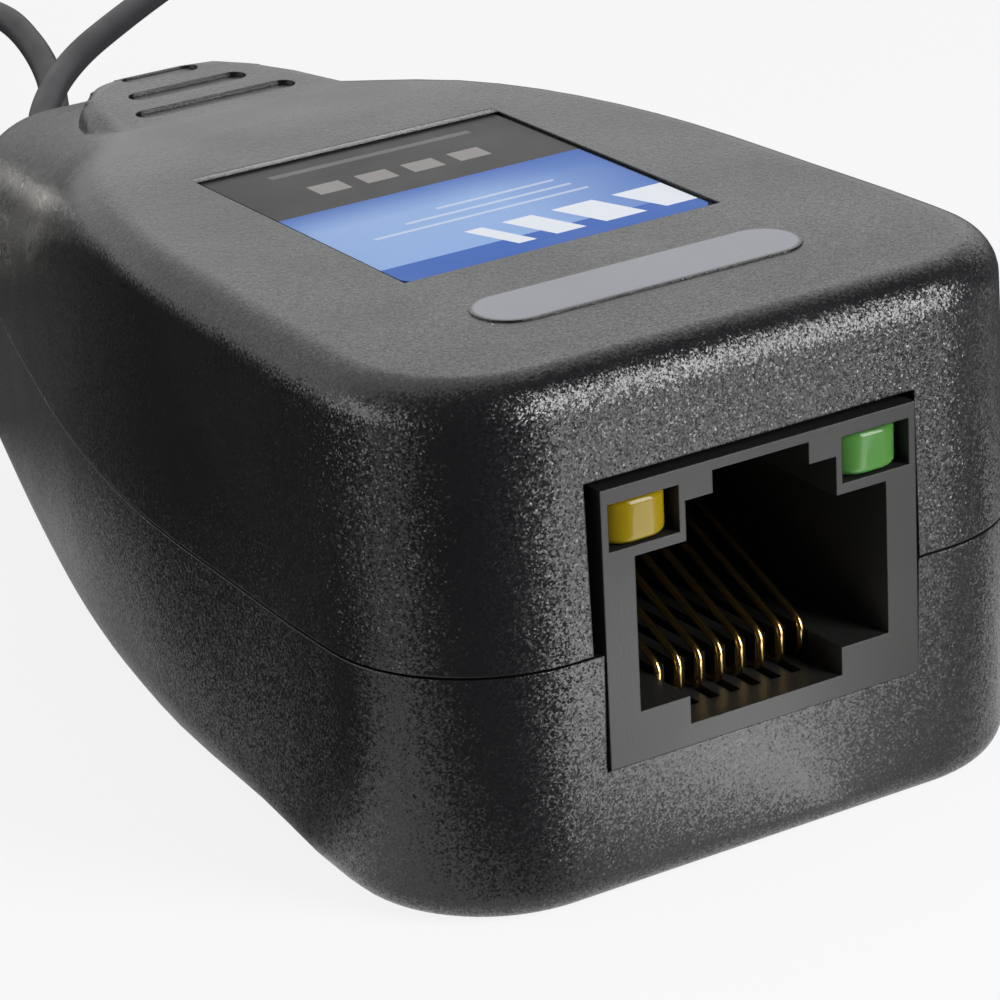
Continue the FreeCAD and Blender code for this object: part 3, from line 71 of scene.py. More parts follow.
# Edges that turn by more than these many degrees stay sharp.
MOULDED_EDGE = 30.0
COVER_EDGE = 32.0
PLAIN_EDGE = 35.0
TURNED_EDGE = 40.0
RUBBER_EDGE = 45.0
DIPPED_EDGE = 50.0


class Body(Enum):
    """The rigid bodies that pieces ride on."""

    HOUSING = "housing"
    RING = "coupling_ring"


def linear(hex_color: str) -> Color:
    """Turns an sRGB hex colour into the linear colour that a shader wants.

    Args:
        hex_color: Six hex digits with a leading hash.

    Returns:
        Linear red, green, blue and an alpha of 1.
    """
    channels = [int(hex_color[i : i + 2], 16) / 255 for i in (1, 3, 5)]
    # The sRGB curve: a straight line near black, and a power above it.
    red, green, blue = (c / 12.92 if c <= 0.04045 else ((c + 0.055) / 1.055) ** 2.4 for c in channels)
    return (red, green, blue, 1.0)


def add(tree: Tree, kind: str, given: Sequence | dict = (), out: int | str = 0, **settings) -> Socket:
    """Adds one node with its settings, values and links.

    Args:
        tree: The node tree that gets the node.
        kind: The node's type name.
        given: Values or sockets for its inputs, in order, or a dict of them by input name or number.
        out: The name or number of the output that is wanted.
        **settings: Attributes of the node.

    Returns:
        The wanted output, or the first input of a node that has no output.
    """
    node = tree.nodes.new(kind)
    for name, value in settings.items():
        setattr(node, name, value)
    pairs = given.items() if isinstance(given, dict) else enumerate(given)
    for key, value in pairs:
        if isinstance(value, Socket):
            tree.links.new(value, node.inputs[key])
        else:
            node.inputs[key].default_value = value
    return node.outputs[out] if node.outputs else node.inputs[0]


@dataclass(frozen=True)
class Finish:
    """A surface finish: what the piece is made of, and the marks that its making leaves.

    The grain is the size of the marks that the mould, the die or the cutter leaves.
    """

    name: str
    color: str
    roughness: float
    grain_mm: float = 0.3
    relief_mm: float = 0.01
    mottle: float = 0.15
    mottle_mm: float = 4.0
    specular: float = 0.5
    metallic: float = 0.0
    subsurface: float = 0.0
    coat: float = 0.0
    edge_mm: float = 0.0

    def material(self) -> bpy.types.Material:
        """The material of this finish, made once.

        Returns:
            The Blender material.
        """
        known = bpy.data.materials.get(self.name)
        if known:
            return known
        made = bpy.data.materials.new(self.name)
        made.use_nodes = True
        tree = made.node_tree
        tree.nodes.clear()
        place = add(tree, "ShaderNodeTexCoord", out="Object")
        given = {
            "Base Color": self.tint(tree, place),
            "Roughness": self.gloss(tree, place),
            "Normal": self.relief(tree, place),
            "Metallic": self.metallic,
            "Coat Weight": self.coat,
            "Subsurface Weight": self.subsurface,
            "Subsurface Scale": SUBSURFACE_MM * MM,
            "Specular IOR Level": self.specular,
        }
        add(tree, "ShaderNodeOutputMaterial", (add(tree, "ShaderNodeBsdfPrincipled", given),))
        return made

    def tint(self, tree: Tree, place: Socket) -> Socket:
        """The base colour with a slow mottle, as pigment and handling leave it.

        Args:
            tree: The material's tree.
            place: Object coordinates.

        Returns:
            The colour.
        """
        given = {"Vector": place, "Scale": 1 / (self.mottle_mm * MM), "Detail": MOTTLE_DETAIL}
        slow = add(tree, "ShaderNodeTexNoise", given)
        base = linear(self.color)[:3]
        low = (*(c * (1 - self.mottle) for c in base), 1.0)
        high = (*(min(1.0, c * (1 + self.mottle)) for c in base), 1.0)
        mixed = {MIX_SHARE: slow, MIX_UNDER: low, MIX_OVER: high}
        return add(tree, "ShaderNodeMix", mixed, out=MIX_COLOR, data_type="RGBA")

    def laid_over(
        self, tree: Tree, color: Socket | Color, layers: Sequence[tuple[Socket, str]]
    ) -> Socket:
        """A colour with others laid over it in turn.

        Args:
            tree: The material's tree.
            color: The colour at the bottom.
            layers: The share and the sRGB colour of each layer.

        Returns:
            The colour.
        """
        for share, over in layers:
            given = {MIX_SHARE: share, MIX_UNDER: color, MIX_OVER: linear(over)}
            color = add(tree, "ShaderNodeMix", given, out=MIX_COLOR, data_type="RGBA")
        return color

    def gloss(self, tree: Tree, place: Socket) -> Socket:
        """The roughness, which varies a little from place to place.

        Args:
            tree: The material's tree.
            place: Object coordinates.

        Returns:
            The roughness.
        """
        given = {"Vector": place, "Scale": WORN_SCALE / (self.mottle_mm * MM), "Detail": FINE_DETAIL}
        worn = add(tree, "ShaderNodeTexNoise", given)
        low, high = (1 - GLOSS_SPREAD) * self.roughness, (1 + GLOSS_SPREAD) * self.roughness
        return add(tree, "ShaderNodeMapRange", (worn, *WORN_RANGE, low, high))

    def grain(self, tree: Tree, place: Socket) -> Socket:
        """The height of the surface's grain, from 0 to 1.

        Args:
            tree: The material's tree.
            place: Object coordinates.

        Returns:
            The height.
        """
        given = {
            "Vector": place,
            "Scale": 1 / (self.grain_mm * MM),
            "Detail": FINE_DETAIL,
            "Roughness": GRAIN_ROUGHNESS,
        }
        return add(tree, "ShaderNodeTexNoise", given)

    def relief(self, tree: Tree, place: Socket) -> Socket:
        """The bumped normal, over edges that are slightly round.

        Args:
            tree: The material's tree.
            place: Object coordinates.

        Returns:
            The normal.
        """
        given = {"Height": self.grain(tree, place), "Strength": 1.0, "Distance": self.relief_mm * MM}
        if self.edge_mm:
            given["Normal"] = add(tree, "ShaderNodeBevel", (self.edge_mm * MM,), samples=BEVEL_SAMPLES)
        return add(tree, "ShaderNodeBump", given)


@dataclass(frozen=True)
class CoverPlastic(Finish):
    """Black ABS from a spark-eroded mould, with a smooth pad and specks of dust on the top."""

    top_mm: float = 22.9
    pad_middle_mm: float = -21.75
    pad_reach_mm: float = 6.15
    pad_round_mm: float = 1.75
    pad_edge_mm: tuple[float, float] = (-0.25, -0.1)
    pad_color: str = "#80828a"
    pad_grain: float = 0.25
    skin_end_mm: float = -0.2
    # The dark line round the pad's edge is painted shade, as in a sunken rim.
    rim_shade_mm: float = 0.12
    rim_shade_share: float = 0.6
    rim_shade_color: str = "#101012"
    dust_cell_mm: float = 1.3
    dust_size: float = 0.05
    dust_rarity: float = 0.985
    dust_level: float = 0.7
    dust_color: str = "#b9bcc0"
    facet_mm: float = 0.08
    facet_tilt: float = 0.4
    facet_worn: float = 0.45
    facet_worn_mm: tuple[float, float] = (-28.0, -6.0)
    facet_level: float = 0.5

    def pad_distance(self, tree: Tree, place: Socket) -> Socket:
        """How far a point lies outside the pad's outline, in metres, and negative inside.

        Args:
            tree: The material's tree.
            place: Object coordinates.

        Returns:
            The distance.
        """
        x = add(tree, "ShaderNodeSeparateXYZ", (place,))
        y, z = x.node.outputs[1], x.node.outputs[2]
        side = add(tree, "ShaderNodeMath", (x,), operation="ABSOLUTE")
        beyond = add(tree, "ShaderNodeMath", (side, self.pad_reach_mm * MM), operation="SUBTRACT")
        beyond = add(tree, "ShaderNodeMath", (beyond, 0.0), operation="MAXIMUM")
        across = add(tree, "ShaderNodeMath", (y, self.pad_middle_mm * MM), operation="SUBTRACT")
        spot = add(tree, "ShaderNodeCombineXYZ", (beyond, across, 0.0))
        length = add(tree, "ShaderNodeVectorMath", (spot,), out="Value", operation="LENGTH")
        away = add(tree, "ShaderNodeMath", (length, self.pad_round_mm * MM), operation="SUBTRACT")
        low = add(tree, "ShaderNodeMath", (z, self.top_mm * MM), operation="LESS_THAN")
        return add(tree, "ShaderNodeMath", (away, low), operation="ADD")

    def tint(self, tree: Tree, place: Socket) -> Socket:
        """The black, a paler pad with a dark rim of painted shade, and dust.

        Args:
            tree: The material's tree.
            place: Object coordinates.

        Returns:
            The colour.
        """
        color = super().tint(tree, place)
        away = self.pad_distance(tree, place)
        start, end = (limit * MM for limit in self.pad_edge_mm)
        inside = add(tree, "ShaderNodeMapRange", (away, start, end, 1.0, 0.0))
        # Painted shade: a dark line along the pad's edge.
        rim = add(tree, "ShaderNodeMath", (away,), operation="ABSOLUTE")
        rim = add(tree, "ShaderNodeMapRange", (rim, 0.0, self.rim_shade_mm * MM, self.rim_shade_share, 0.0))
        specks = {"Vector": place, "Scale": 1 / (self.dust_cell_mm * MM), "Randomness": 1.0}
        near = add(tree, "ShaderNodeTexVoronoi", specks)
        picked = add(tree, "ShaderNodeSeparateColor", (near.node.outputs["Color"],))
        near = add(tree, "ShaderNodeMath", (near, self.dust_size), operation="LESS_THAN")
        rare = add(tree, "ShaderNodeMath", (picked, self.dust_rarity), operation="GREATER_THAN")
        normal = add(tree, "ShaderNodeNewGeometry", out="True Normal")
        upward = add(tree, "ShaderNodeSeparateXYZ", (normal,), out=2)
        upward = add(tree, "ShaderNodeMath", (upward, self.dust_level), operation="GREATER_THAN")
        dust = add(tree, "ShaderNodeMath", (near, rare), operation="MULTIPLY")
        dust = add(tree, "ShaderNodeMath", (dust, upward), operation="MULTIPLY")
        layers = ((inside, self.pad_color), (rim, self.rim_shade_color), (dust, self.dust_color))
        return self.laid_over(tree, color, layers)

    def grain(self, tree: Tree, place: Socket) -> Socket:
        """The eroded pits, which stop at the smooth pad.

        Args:
            tree: The material's tree.
            place: Object coordinates.

        Returns:
            The height.
        """
        noise = super().grain(tree, place)
        outside = (self.pad_distance(tree, place), self.skin_end_mm * MM, 0.0, self.pad_grain, 1.0)
        outside = add(tree, "ShaderNodeMapRange", outside)
        return add(tree, "ShaderNodeMath", (noise, outside), operation="MULTIPLY")

    def relief(self, tree: Tree, place: Socket) -> Socket:
        """The bumped normal, broken up into the small facets of the spark-eroded skin.

        They lie flatter towards the tail and on the top, and stop at the smooth pad.

        Args:
            tree: The material's tree.
            place: Object coordinates.

        Returns:
            The normal.
        """
        normal = super().relief(tree, place)
        given = {"Vector": place, "Scale": 1 / (self.facet_mm * MM)}
        facet = add(tree, "ShaderNodeTexVoronoi", given, out="Color")
        facet = add(tree, "ShaderNodeVectorMath", (facet, (0.5, 0.5, 0.5)), operation="SUBTRACT")
        outside = (self.pad_distance(tree, place), self.skin_end_mm * MM, 0.0, 0.0, 1.0)
        outside = add(tree, "ShaderNodeMapRange", outside)
        tilt = add(tree, "ShaderNodeMath", (outside, self.facet_tilt), operation="MULTIPLY")
        y = add(tree, "ShaderNodeSeparateXYZ", (place,), out=1)
        upward = add(tree, "ShaderNodeNewGeometry", out="Normal")
        upward = add(tree, "ShaderNodeSeparateXYZ", (upward,), out=2)
        start, end = (limit * MM for limit in self.facet_worn_mm)
        for limits in ((y, start, end), (upward, self.facet_level, 1.0)):
            worn = add(tree, "ShaderNodeMapRange", (*limits, 1.0, self.facet_worn))
            tilt = add(tree, "ShaderNodeMath", (tilt, worn), operation="MULTIPLY")
        facet = add(tree, "ShaderNodeVectorMath", {0: facet, "Scale": tilt}, operation="SCALE")
        normal = add(tree, "ShaderNodeVectorMath", (normal, facet), operation="ADD")
        return add(tree, "ShaderNodeVectorMath", (normal,), operation="NORMALIZE")


@dataclass(frozen=True)
class PrintedFilm(Finish):
    """A printed film: a dark strip, and a blue field with plain bars and lines.

    The bars and the lines count y from the film's front, the squares and the text from the strip.
    """

    front_mm: float = -16.2
    length_mm: float = 17.6
    half_mm: float = 7.7
    strip_mm: float = 7.2
    band_mm: float = 2.0
    side_mm: float = 1.0
    side_share: float = 0.8
    rear_mm: float = 2.6
    rear_share: float = 0.9
    deep: str = "#2f63b8"
    strip: str = "#322f2f"
    ink: str = "#eef1f8"
    mark: str = "#a29d9a"
    lean: float = 0.35
    bars_mm: tuple[Box, ...] = (
        (-6.2, 2.6, 0.45, 1.4),
        (-4.0, 2.6, 0.75, 1.4),
        (-1.2, 2.6, 1.05, 1.4),
        (2.2, 2.6, 1.35, 1.4),
    )
    lines_mm: tuple[Box, ...] = ((-0.4, 5.6, 5.4, 0.12), (0.5, 6.5, 4.2, 0.12), (1.4, 7.4, 3.0, 0.12))
    line_share: float = 0.5
    squares_mm: tuple[Box, ...] = (
        (-3.6, 2.6, 0.8, 0.65),
        (-1.2, 2.6, 0.8, 0.65),
        (1.2, 2.6, 0.8, 0.65),
        (3.6, 2.6, 0.8, 0.65),
    )
    square_share: float = 0.8
    text_mm: tuple[Box, ...] = ((0.2, 5.4, 5.2, 0.22),)
    text_share: float = 0.35

    def marks(
        self, tree: Tree, spot: Socket, from_mm: float, boxes: Sequence[Box], share: float, color: str
    ) -> list[tuple[Socket, str]]:
        """A layer of colour for each of some rectangles.

        Args:
            tree: The material's tree.
            spot: The place on the film, as a vector.
            from_mm: The y that the boxes count from.
            boxes: The rectangles.
            share: How well the colour covers.
            color: The sRGB colour.

        Returns:
            The share and the colour of each layer.
        """
        layers = []
        for x, y, half_width, half_height in boxes:
            middle = (x * MM, (from_mm + y) * MM, 0.0)
            away = add(tree, "ShaderNodeVectorMath", (spot, middle), operation="SUBTRACT")
            away = add(tree, "ShaderNodeVectorMath", (away,), operation="ABSOLUTE")
            side = add(tree, "ShaderNodeSeparateXYZ", (away,))
            wide = add(tree, "ShaderNodeMath", (side, half_width * MM), operation="LESS_THAN")
            high = (side.node.outputs[1], half_height * MM)
            high = add(tree, "ShaderNodeMath", high, operation="LESS_THAN")
            inside = add(tree, "ShaderNodeMath", (wide, high), operation="MULTIPLY")
            layers.append((add(tree, "ShaderNodeMath", (inside, share), operation="MULTIPLY"), color))
        return layers

    def tint(self, tree: Tree, place: Socket) -> Socket:
        """The print's fields of colour.

        Args:
            tree: The material's tree.
            place: Object coordinates.

        Returns:
            The colour.
        """
        x = add(tree, "ShaderNodeSeparateXYZ", (place,))
        y = x.node.outputs[1]
        front, rear = self.front_mm, self.front_mm + self.length_mm
        edge = rear - self.strip_mm
        side = (x, self.side_mm * MM, self.half_mm * MM, 0.0, self.side_share)
        back = (y, (edge - self.rear_mm) * MM, edge * MM, 0.0, self.rear_share)
        layers = [(add(tree, "ShaderNodeMapRange", given), self.deep) for given in (side, back)]
        band = (y, (front + self.band_mm) * MM)
        layers.append((add(tree, "ShaderNodeMath", band, operation="LESS_THAN"), self.deep))
        slant = add(tree, "ShaderNodeMath", (y, self.lean, x), operation="MULTIPLY_ADD")
        slant = add(tree, "ShaderNodeCombineXYZ", (slant, y, 0.0))
        layers += self.marks(tree, slant, front, self.bars_mm, 1.0, self.ink)
        layers += self.marks(tree, place, front, self.lines_mm, self.line_share, self.ink)
        strip = add(tree, "ShaderNodeMath", (y, edge * MM), operation="GREATER_THAN")
        layers.append((strip, self.strip))
        layers += self.marks(tree, place, edge, self.squares_mm, self.square_share, self.mark)
        layers += self.marks(tree, place, edge, self.text_mm, self.text_share, self.mark)
        return self.laid_over(tree, linear(self.color), layers)


# Spark-eroded ABS: a satin skin of small facets that break the highlights up.
COVER = CoverPlastic(
    "abs_spark_eroded_black", "#121214", 0.29, grain_mm=0.22, relief_mm=0.02, mottle=0.08, edge_mm=0.12
)
# PBT from a polished mould: finer grained and greyer than the covers.
SOCKET = Finish(
    "pbt_moulded_black", "#1c1c1b", 0.42, grain_mm=0.15, relief_mm=0.009, specular=0.35, edge_mm=0.08
)
# Glass-filled PBT: black and dull, and coloured darker still as painted shade deep in the socket.
SHADED_INSERT = Finish("pbt_glass_filled_painted_shade", "#0d0d0d", 0.5, grain_mm=0.2, relief_mm=0.005)
# Printed polyester film: a soft gloss over flat ink.
LABEL = PrintedFilm(
    "printed_polyester_film", "#93b4e6", 0.45, grain_mm=0.5, relief_mm=0.003, specular=0.2
)
# Phosphor bronze wire with a gold flash: drawn smooth, with small bright reflections.
GOLD = Finish(
    "gold_flashed_bronze", "#cfae6c", 0.2, grain_mm=0.08, relief_mm=0.002, mottle=0.08, metallic=1.0
)
# Nickel on die-cast zinc: bright, with soft tumbled edges.
NICKEL = Finish(
    "nickel_plated_zinc", "#c9c6bf", 0.24, grain_mm=0.12, relief_mm=0.003,
    mottle=0.05, metallic=1.0, edge_mm=0.08,
)
# Zinc-plated steel: a duller, bluer grey metal.
STEEL = Finish(
    "zinc_plated_steel", "#b8bcc0", 0.35, grain_mm=0.1, relief_mm=0.004, mottle=0.08, metallic=1.0
)
# Tinned copper: pale and softly shiny.
TIN = Finish(
    "tinned_copper", "#c4c5c4", 0.35, grain_mm=0.1, relief_mm=0.003, mottle=0.08, metallic=1.0
)
# Cast epoxy lenses: tinted through, cloudy inside and glossy outside.
YELLOW_LENS = Finish(
    "epoxy_cast_yellow", "#6c5c08", 0.14, grain_mm=0.8, relief_mm=0.004, specular=0.22, subsurface=0.3
)
GREEN_LENS = Finish(
    "epoxy_cast_green", "#375f2a", 0.14, grain_mm=0.8, relief_mm=0.004, specular=0.22, subsurface=0.3
)
# Glass-epoxy laminate under solder mask: glossy green with a faint weave of patches.
LAMINATE = Finish(
    "glass_epoxy_board", "#1c5a38", 0.35, grain_mm=0.4, relief_mm=0.004,
    mottle=0.2, mottle_mm=1.0, coat=0.3,
)
# Sintered ferrite: dull and slightly grainy grey.
FERRITE = Finish("ferrite_sintered", "#3d3e41", 0.7, grain_mm=0.12, relief_mm=0.008, mottle_mm=1.0)
# Enamelled copper wire: metal seen through clear tinted enamel.
RED_WIRE = Finish(
    "enamelled_copper_red", "#b4552c", 0.3, grain_mm=0.1, relief_mm=0.002, mottle=0.12, metallic=1.0
)
GREEN_WIRE = Finish(
    "enamelled_copper_green", "#6f8a2c", 0.3, grain_mm=0.1, relief_mm=0.002, mottle=0.12, metallic=1.0
)
# Dipped ceramic: a rounded, waxy ochre skin.
CERAMIC = Finish(
    "ceramic_dipped_ochre", "#c98f2e", 0.3, grain_mm=0.3, relief_mm=0.006, mottle_mm=1.0, coat=0.4
)
# Transfer-moulded epoxy: matt black.
EPOXY = Finish("epoxy_moulded_black", "#17171a", 0.4, grain_mm=0.15, relief_mm=0.005)
# Natural nylon: milky, with a soft edge.
NYLON = Finish(
    "nylon_moulded_natural", "#d9d6cb", 0.45, grain_mm=0.2, relief_mm=0.004, subsurface=0.2
)
# Moulded soft PVC: deep black with a satin sheen.
SOFT_PVC = Finish(
    "pvc_moulded_black", "#1b1b1d", 0.5, grain_mm=0.25, relief_mm=0.01, specular=0.4, edge_mm=0.1
)
# Extruded PVC jacket: smooth along its length, a little greyer than the covers.
JACKET = Finish(
    "pvc_extruded_black", "#26262a", 0.5, grain_mm=0.4, relief_mm=0.006, mottle_mm=3.0, specular=0.3
)
# Turned PTFE: waxy white.
PTFE = Finish("ptfe_turned_white", "#e9e8e4", 0.5, grain_mm=0.2, relief_mm=0.004, subsurface=0.2)


def new_piece(name: str, mesh: bpy.types.Mesh, finish: Finish, body: Body) -> bpy.types.Object:
    """Shows a mesh as a piece of a body.

    Args:
        name: The piece's name.
        mesh: Its mesh, in place.
        finish: Its surface.
        body: What it rides on.

    Returns:
        The new object.
    """
    mesh.materials.clear()
    mesh.materials.append(finish.material())
    piece = bpy.data.objects.new(name, mesh)
    bpy.context.scene.collection.objects.link(piece)
    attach(piece, body.value)
    LOG.info("%s: %d faces, %s", name, len(mesh.polygons), finish.name)
    return piece


def smooth_copy(
    node: str, finish: Finish, body: Body = Body.HOUSING, angle: float = PLAIN_EDGE
) -> bpy.types.Object:
    """A merged, smoothly shaded stand-in for a CAD node.

    Args:
        node: The node's name.
        finish: Its surface.
        body: What it rides on.
        angle: Edges sharper than this many degrees stay sharp.

    Returns:
        The piece that replaces the node.
    """
    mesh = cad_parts[node].data.copy()
    shape = bmesh.new()
    shape.from_mesh(mesh)
    bmesh.ops.remove_doubles(shape, verts=shape.verts, dist=MERGE_MM * MM)
    for face in shape.faces:
        face.smooth = True
    for edge in shape.edges:
        edge.smooth = len(edge.link_faces) == 2 and edge.calc_face_angle(0.0) < math.radians(angle)
    shape.to_mesh(mesh)
    shape.free()
    piece = new_piece(f"{node}_dressed", mesh, finish, body)
    weigh = piece.modifiers.new("weighted_normals", "WEIGHTED_NORMAL")
    weigh.keep_sharp = True
    weigh.weight = NORMAL_WEIGHT
    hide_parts(node)
    return piece


def paint_node(node: str, finish: Finish) -> None:
    """Gives a CAD node that stays as it is its finish.

    Args:
        node: The node's name.
        finish: Its surface.
    """
    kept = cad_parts[node]
    if not kept.material_slots:
        kept.data.materials.append(finish.material())
    for slot in kept.material_slots:
        slot.material = finish.material()
    LOG.info("%s: kept, %s", node, finish.name)


def new_tree(name: str, counts: Sequence[str], sizes: Sequence[str]) -> tuple[Tree, dict[str, Socket]]:
    """An empty geometry tree with named inputs.

    Args:
        name: The tree's name.
        counts: The names of its whole-number inputs.
        sizes: The names of its other inputs.

    Returns:
        The tree, and its inputs by name.
    """
    tree = bpy.data.node_groups.new(name, "GeometryNodeTree")
    tree.interface.new_socket("Geometry", in_out="INPUT", socket_type="NodeSocketGeometry")
    for names, kind in ((counts, "NodeSocketInt"), (sizes, "NodeSocketFloat")):
        for key in names:
            tree.interface.new_socket(key, in_out="INPUT", socket_type=kind)
    tree.interface.new_socket("Geometry", in_out="OUTPUT", socket_type="NodeSocketGeometry")
    start = add(tree, "NodeGroupInput").node
    return tree, {socket.name: socket for socket in start.outputs if socket.name}


def close_tree(tree: Tree, geometry: Socket, finish: Finish) -> None:
    """Ends a geometry tree: smooth faces, real geometry, the finish.

    Args:
        tree: The geometry tree.
        geometry: What it has made.
        finish: The finish of it all.
    """
    smooth = add(tree, "GeometryNodeSetShadeSmooth", {"Geometry": geometry})
    real = add(tree, "GeometryNodeRealizeInstances", (smooth,))
    dressed = add(tree, "GeometryNodeSetMaterial", {"Geometry": real, "Material": finish.material()})
    add(tree, "NodeGroupOutput", (dressed,))


def baked(base: bpy.types.ID, tree: Tree, sizes: dict[str, float | int]) -> bpy.types.Mesh:
    """Runs a geometry tree and returns its result as a plain mesh.

    Args:
        base: The mesh or curve that the tree starts from.
        tree: The geometry tree.
        sizes: A value for each named input.

    Returns:
        A new mesh.
    """
    holder = bpy.data.objects.new(f"{tree.name}_holder", base)
    bpy.context.scene.collection.objects.link(holder)
    modifier = holder.modifiers.new(tree.name, "NODES")
    modifier.node_group = tree
    for item in tree.interface.items_tree:
        if item.in_out == "INPUT" and item.name in sizes:
            modifier[item.identifier] = sizes[item.name]
    graph = bpy.context.evaluated_depsgraph_get()
    mesh = bpy.data.meshes.new_from_object(holder.evaluated_get(graph), depsgraph=graph)
    bpy.data.objects.remove(holder)
    return mesh


@dataclass
class Leads:
    """The two thin leads and the plugs at their ends."""

    exit_y: float = 30.0
    video_radius: float = 0.8
    power_radius: float = 0.75
    video_length: float = 0.132
    power_length: float = 0.165
    lead_sides: int = 6
    lead_steps: int = 24
    lead_order: int = 3
    video_route: tuple[Point, ...] = (
        (0, 24.4, 7.7),
        (0, 33.0, 7.7),
        (5.3, 41.5, 8.5),
        (10.7, 52.0, 9.6),
        (15.8, 63.0, 10.0),
        (18.8, 75.5, 10.2),
        (20.8, 88.0, 5.8),
        (18.5, 101.0, 1.4),
        (9.0, 110.0, 0.8),
        (-3.0, 107.0, 0.8),
        (-5.0, 92.7, 0.85),
        (-5.0, 78.4, 3.75),
    )
    power_route: tuple[Point, ...] = (
        (0, 24.4, 14.5),
        (0, 33.6, 14.5),
        (6.6, 43.6, 15.5),
        (17.0, 53.2, 15.3),
        (26.0, 63.0, 13.8),
        (30.0, 75.0, 10.9),
        (31.0, 89.0, 7.4),
        (28.5, 103.0, 3.8),
        (19.0, 114.0, 0.9),
        (5.0, 119.0, 0.75),
        (-11.0, 115.5, 0.75),
        (-20.0, 98.3, 0.8),
        (-20.0, 83.7, 2.9),
    )

    def build(self) -> None:
        """Dresses the plugs and lays the leads."""
        self.lead("video_lead", self.video_route, self.video_radius, self.video_length, self.video_plug())
        self.lead("power_lead", self.power_route, self.power_radius, self.power_length, self.power_plug())

    def lead(
        self,
        node: str,
        route: Sequence[Point],
        radius: float,
        length: float,
        plug: list[bpy.types.Object],
    ) -> bpy.types.Object:
        """One lead on a smooth line through its route.

        Args:
            node: The CAD lead that it replaces.
            route: Its control points, in millimetres.
            radius: Its outer radius, in millimetres.
            length: Its real length, in metres.
            plug: The pieces at its far end. Not used.

        Returns:
            The lead piece.
        """
        curve = bpy.data.curves.new(f"{node}_dressed", "CURVE")
        curve.dimensions = "3D"
        curve.bevel_depth = radius * MM
        curve.bevel_resolution = self.lead_sides
        curve.resolution_u = self.lead_steps
        curve.use_fill_caps = True
        spline = curve.splines.new("NURBS")
        spline.points.add(len(route) - 1)
        for point, (x, y, z) in zip(spline.points, route):
            point.co = (x * MM, y * MM, z * MM, 1)
        spline.order_u = self.lead_order
        spline.use_endpoint_u = True
        curve.materials.append(JACKET.material())
        piece = bpy.data.objects.new(f"{node}_dressed", curve)
        bpy.context.scene.collection.objects.link(piece)
        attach(piece, Body.HOUSING.value)
        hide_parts(node)
        LOG.info("%s: lead of %.0f mm, %s", node, length / MM, JACKET.name)
        return piece

    def video_plug(self) -> list[bpy.types.Object]:
        """The bayonet plug.

        Returns:
            Its pieces.
        """
        return [
            smooth_copy("video_plug_boot", SOFT_PVC, angle=RUBBER_EDGE),
            smooth_copy("video_plug_body", NICKEL, angle=MOULDED_EDGE),
            smooth_copy("video_plug_sleeve", NICKEL, angle=TURNED_EDGE),
            smooth_copy("video_plug_ring", NICKEL, Body.RING, angle=MOULDED_EDGE),
            smooth_copy("video_plug_insulator", PTFE, angle=TURNED_EDGE),
            smooth_copy("video_plug_pin", GOLD, angle=TURNED_EDGE),
            smooth_copy("video_plug_gasket", SOFT_PVC, angle=TURNED_EDGE),
            smooth_copy("video_plug_washer", STEEL, angle=TURNED_EDGE),
        ]

    def power_plug(self) -> list[bpy.types.Object]:
        """The power plug.

        Returns:
            Its pieces.
        """
        return [
            smooth_copy("power_plug_grip", SOFT_PVC, angle=RUBBER_EDGE),
            smooth_copy("power_plug_barrel", NICKEL, angle=TURNED_EDGE),
            smooth_copy("power_plug_insulator", EPOXY, angle=TURNED_EDGE),
            smooth_copy("power_plug_contact", NICKEL, angle=TURNED_EDGE),
        ]


@dataclass
class Housing:
    """The two covers, their screws, the label and the bush in the tail."""

    label_floor: float = 22.78
    label_thickness: float = 0.12
    label_corner: float = 0.6
    corner_steps: int = 6
    groove_floor: float = 22.1
    groove_front: float = 12.0
    groove_rear: float = 20.0
    groove_reach: float = 5.0
    groove_slack: float = 0.01
    groove_lift: float = 0.12

    def build(self) -> None:
        """Dresses the outside of the housing."""
        self.ease_grooves(smooth_copy("upper_cover", COVER, angle=COVER_EDGE))
        smooth_copy("lower_cover", COVER, angle=COVER_EDGE)
        smooth_copy("cord_bush", SOFT_PVC)
        smooth_copy("cover_screws", STEEL)
        smooth_copy("inner_tie", NYLON)
        self.label()

    def ease_grooves(self, cover: bpy.types.Object) -> None:
        """Lifts the floors of the grip's grooves a little, as shallow as they look in the light.

        Args:
            cover: The upper cover's stand-in.
        """
        for vertex in cover.data.vertices:
            x, y, z = vertex.co / MM
            on_floor = abs(z - self.groove_floor) < self.groove_slack and abs(x) < self.groove_reach
            if on_floor and self.groove_front < y < self.groove_rear:
                vertex.co.z += self.groove_lift * MM

    def label(self) -> bpy.types.Object:
        """The printed film with its round corners.

        Returns:
            The label piece.
        """
        shape = bmesh.new()
        rim = []
        front, rear = LABEL.front_mm, LABEL.front_mm + LABEL.length_mm
        reach, turn = LABEL.half_mm, self.label_corner
        corners = (
            (reach - turn, rear - turn, 0),
            (-reach + turn, rear - turn, 90),
            (-reach + turn, front + turn, 180),
            (reach - turn, front + turn, 270),
        )
        for x, y, start in corners:
            for step in range(self.corner_steps + 1):
                angle = math.radians(start + 90 * step / self.corner_steps)
                spot = (x + turn * math.cos(angle), y + turn * math.sin(angle), self.label_floor)
                rim.append(shape.verts.new(Vector(spot) * MM))
        face = shape.faces.new(rim)
        lifted = bmesh.ops.extrude_face_region(shape, geom=[face], use_keep_orig=True)
        moved = [item for item in lifted["geom"] if isinstance(item, bmesh.types.BMVert)]
        bmesh.ops.translate(shape, verts=moved, vec=(0, 0, self.label_thickness * MM))
        bmesh.ops.recalc_face_normals(shape, faces=shape.faces)
        mesh = bpy.data.meshes.new("top_label_dressed")
        shape.to_mesh(mesh)
        shape.free()
        piece = new_piece("top_label_dressed", mesh, LABEL, Body.HOUSING)
        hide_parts("top_label")
        return piece


